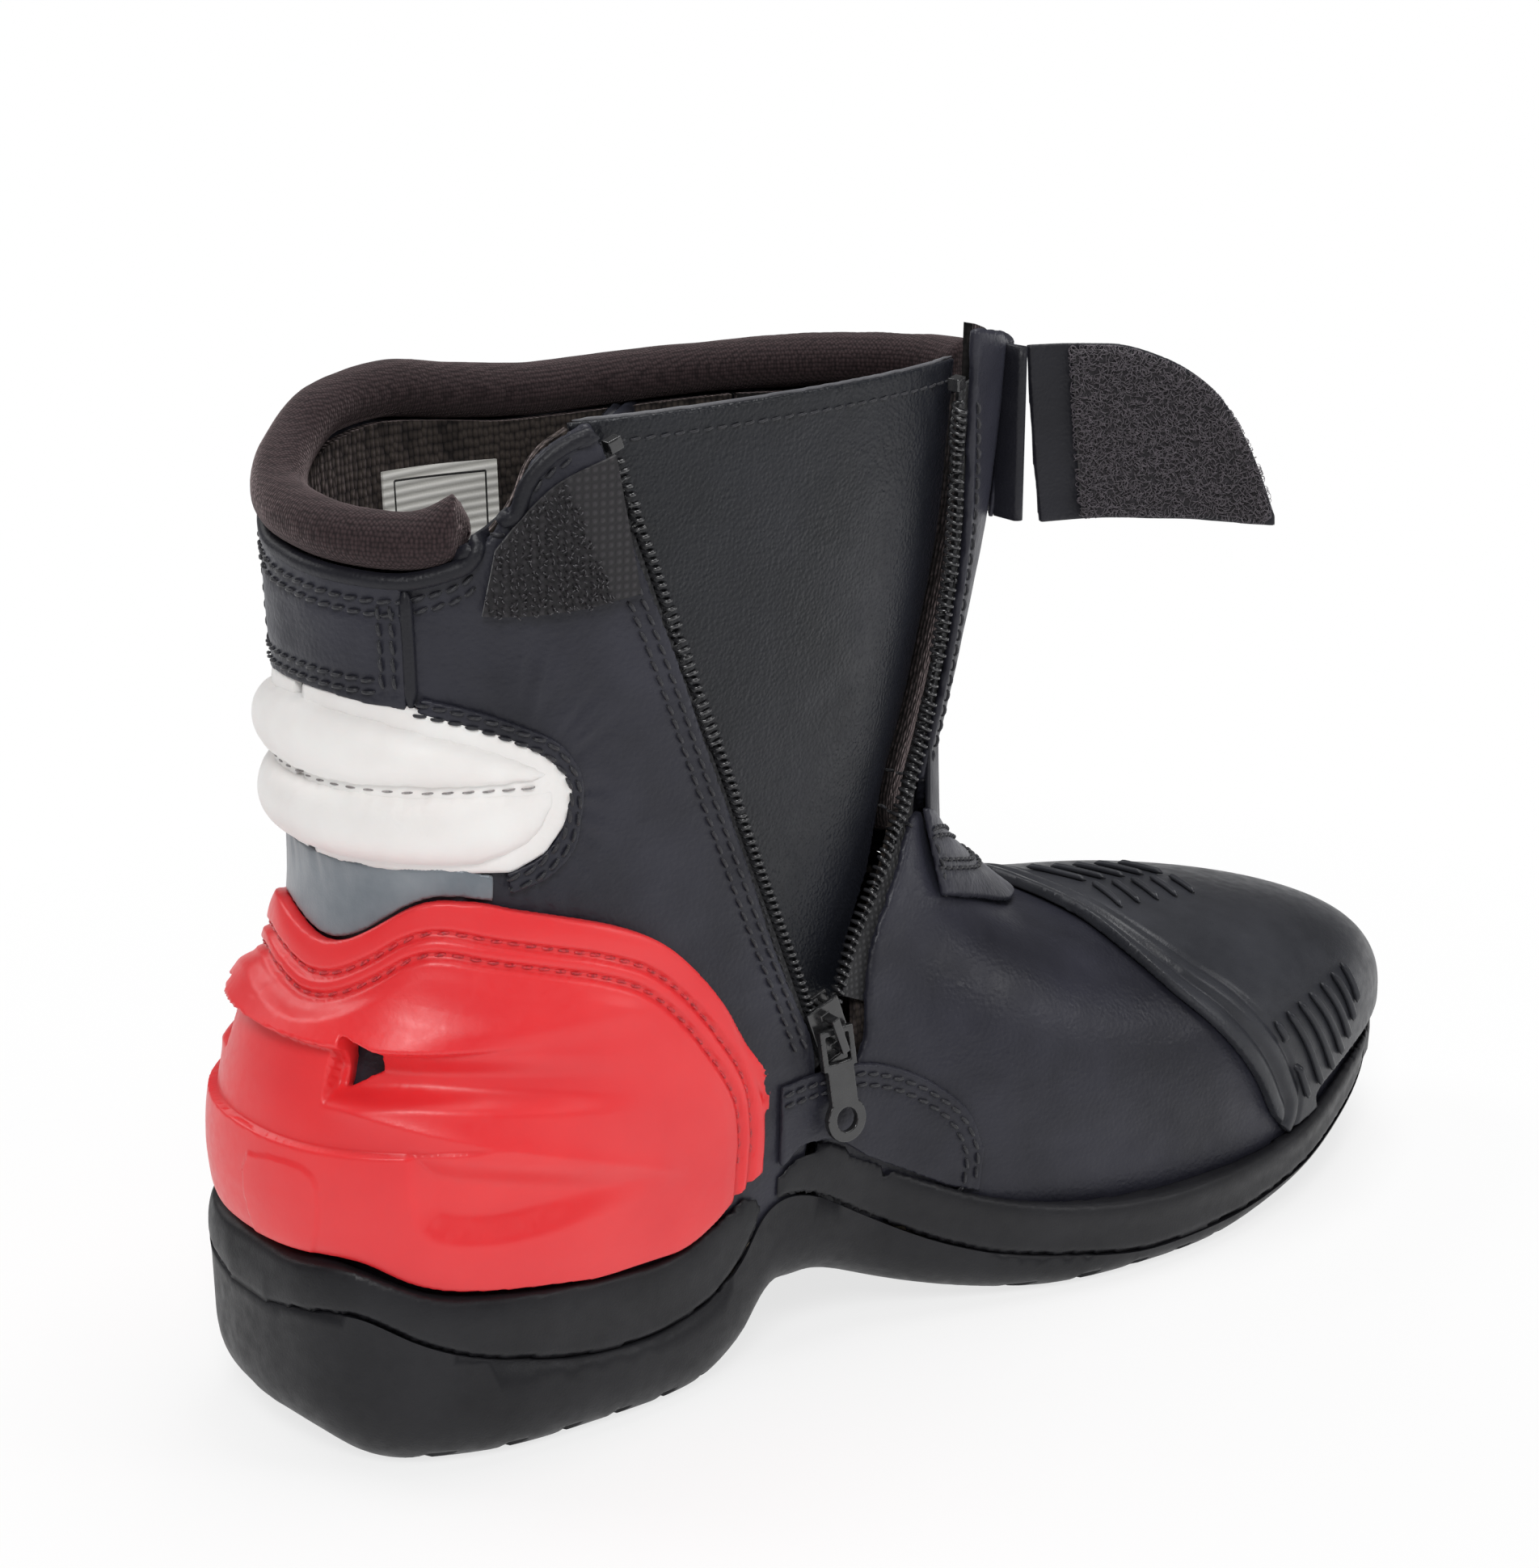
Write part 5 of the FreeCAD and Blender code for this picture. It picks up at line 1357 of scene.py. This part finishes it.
def strap_fold():
    """Folded leather that the strap turns on, from its sewn base round the fold line."""
    low, high = (np.array(v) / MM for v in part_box("strap_base"))
    pivot = np.array(joint_place("strap_fold")[:2]) / MM
    verts, faces = [], []
    levels = np.linspace(low[2] + 0.3, high[2] - 0.3, 14)
    section = 20
    for z in levels:
        root = pivot + np.array(FOLD_ROOT)
        ahead = (pivot - root) / np.linalg.norm(pivot - root)
        side = np.array([-ahead[1], ahead[0]])
        for k in range(section):
            a = 2 * math.pi * k / section
            centre, r = (pivot, 1.3) if math.cos(a) > 0 else (root, 0.8)
            q = centre + ahead * (r * math.cos(a)) + side * (r * math.sin(a))
            verts.append(Vector((q[0], q[1], z)) * MM)
    for i in range(len(levels) - 1):
        for k in range(section):
            a, b = i * section + k, i * section + (k + 1) % section
            faces.append((a, b, b + section, a + section))
    faces.append(tuple(reversed(range(section))))
    faces.append(tuple((len(levels) - 1) * section + k for k in range(section)))
    obj = new_object("strap_fold_leather", verts, faces)
    finish_piece(obj, "boot", "smooth_leather", LEATHER_EDGE)


# ---- label ---------------------------------------------------------------------------------------------
def label_border():
    """Thin plain frame printed on the ribbed label."""
    tree = tree_of(["size_label"])
    verts, faces = [], []

    def on_label(phi, z):
        a = math.radians(phi)
        way = Vector((-math.cos(a), -math.sin(a), 0))
        place, normal, _, _ = tree.ray_cast(Vector((AXIS_X, 0, z)) * MM, way, 0.3)
        return place, None if place is None else facing(normal, -way)

    corners = [(-100.6, 158.9), (-100.4, 174.8), (-62.0, 176.2), (-62.0, 159.8), (-100.6, 158.9)]
    for (p0, z0), (p1, z1) in zip(corners, corners[1:]):
        points, ups = [], []
        for t in np.linspace(0, 1, 12):
            place, normal = on_label(p0 + (p1 - p0) * t, z0 + (z1 - z0) * t)
            if place is not None:
                points.append(place)
                ups.append(normal)
        if len(points) > 2:
            tube_verts(points, 0.22 * MM, 6, ups, verts, faces, 0.5)
    obj = new_object("label_border", verts, faces)
    finish_piece(obj, "boot", "label_tape", LABEL_INK)


# ---- stage -----------------------------------------------------------------------------------------------
def stage():
    floor = new_object("floor", [(-4, -4, 0), (4, -4, 0), (4, 4, 0), (-4, 4, 0)], [(0, 1, 2, 3)], False)
    floor.location.z = -0.0004
    floor.data.materials.append(floor_white())
    world = bpy.data.worlds.new("studio")
    bpy.context.scene.world = world
    world.use_nodes = True
    background = world.node_tree.nodes["Background"]
    background.inputs["Color"].default_value = (1, 1, 1, 1)
    seen = world.node_tree.nodes.new("ShaderNodeLightPath").outputs["Is Camera Ray"]
    strength = world.node_tree.nodes.new("ShaderNodeMapRange")
    strength.inputs["To Min"].default_value = 0.12
    strength.inputs["To Max"].default_value = 1.0
    world.node_tree.links.new(seen, strength.inputs["Value"])
    world.node_tree.links.new(strength.outputs["Result"], background.inputs["Strength"])
    lamps = (("key", (-0.7, -0.9, 1.2), 0.5, 12),
             ("fill", (0.9, -1.0, 0.7), 0.5, 3.5),
             ("rear", (-0.5, 1.1, 1.1), 0.8, 6),
             ("top", (0.35, 0.1, 1.4), 0.8, 11))
    for name, place, size, power in lamps:
        data = bpy.data.lights.new(name, "AREA")
        data.size = size
        data.energy = power
        lamp = bpy.data.objects.new(name, data)
        bpy.context.scene.collection.objects.link(lamp)
        lamp.location = place
        lamp.rotation_euler = (Vector((0.1, 0, 0.08)) - lamp.location).to_track_quat("-Z", "Y").to_euler()
    bpy.context.scene.view_settings.view_transform = "Standard"


def camera():
    """Long lens, above and behind the inner side of the heel."""
    target = Vector((0.10065, 0, 0.0915))
    back = Vector((-0.5994, -0.7332, 0.3210)).normalized()
    right = Vector((0, 0, 1)).cross(back).normalized()
    up = back.cross(right)
    roll = math.radians(0.73)
    tilted_right = right * math.cos(roll) + up * math.sin(roll)
    tilted_up = back.cross(tilted_right)
    data = bpy.data.cameras.new("camera")
    data.lens = 79.38
    data.sensor_fit = "AUTO"
    data.sensor_width = 36
    data.shift_x = -0.0489
    data.shift_y = 0.0389
    data.clip_start = 0.01
    obj = bpy.data.objects.new("camera", data)
    bpy.context.scene.collection.objects.link(obj)
    obj.matrix_world = Matrix((
        (tilted_right.x, tilted_up.x, back.x, target.x + back.x * 0.732),
        (tilted_right.y, tilted_up.y, back.y, target.y + back.y * 0.732),
        (tilted_right.z, tilted_up.z, back.z, target.z + back.z * 0.732),
        (0, 0, 0, 1)))
    bpy.context.scene.camera = obj


camera()
stage()
plain_cad()
leather_stitch_rows = leather_rows()
upper_leather(leather_stitch_rows)
stitches("leather_stitches", leather_stitch_rows, "boot", "smooth_leather", THREAD)
collar()
back_tab_seams()
pads()
heel_band()
cup()
toe_cap()
toe_ribs()
welt()
toe_bumper()
outsole()
zipper()
gusset()
hook_field()
loop_field()
strap()
strap_fold()
instep_underlay()
label_border()
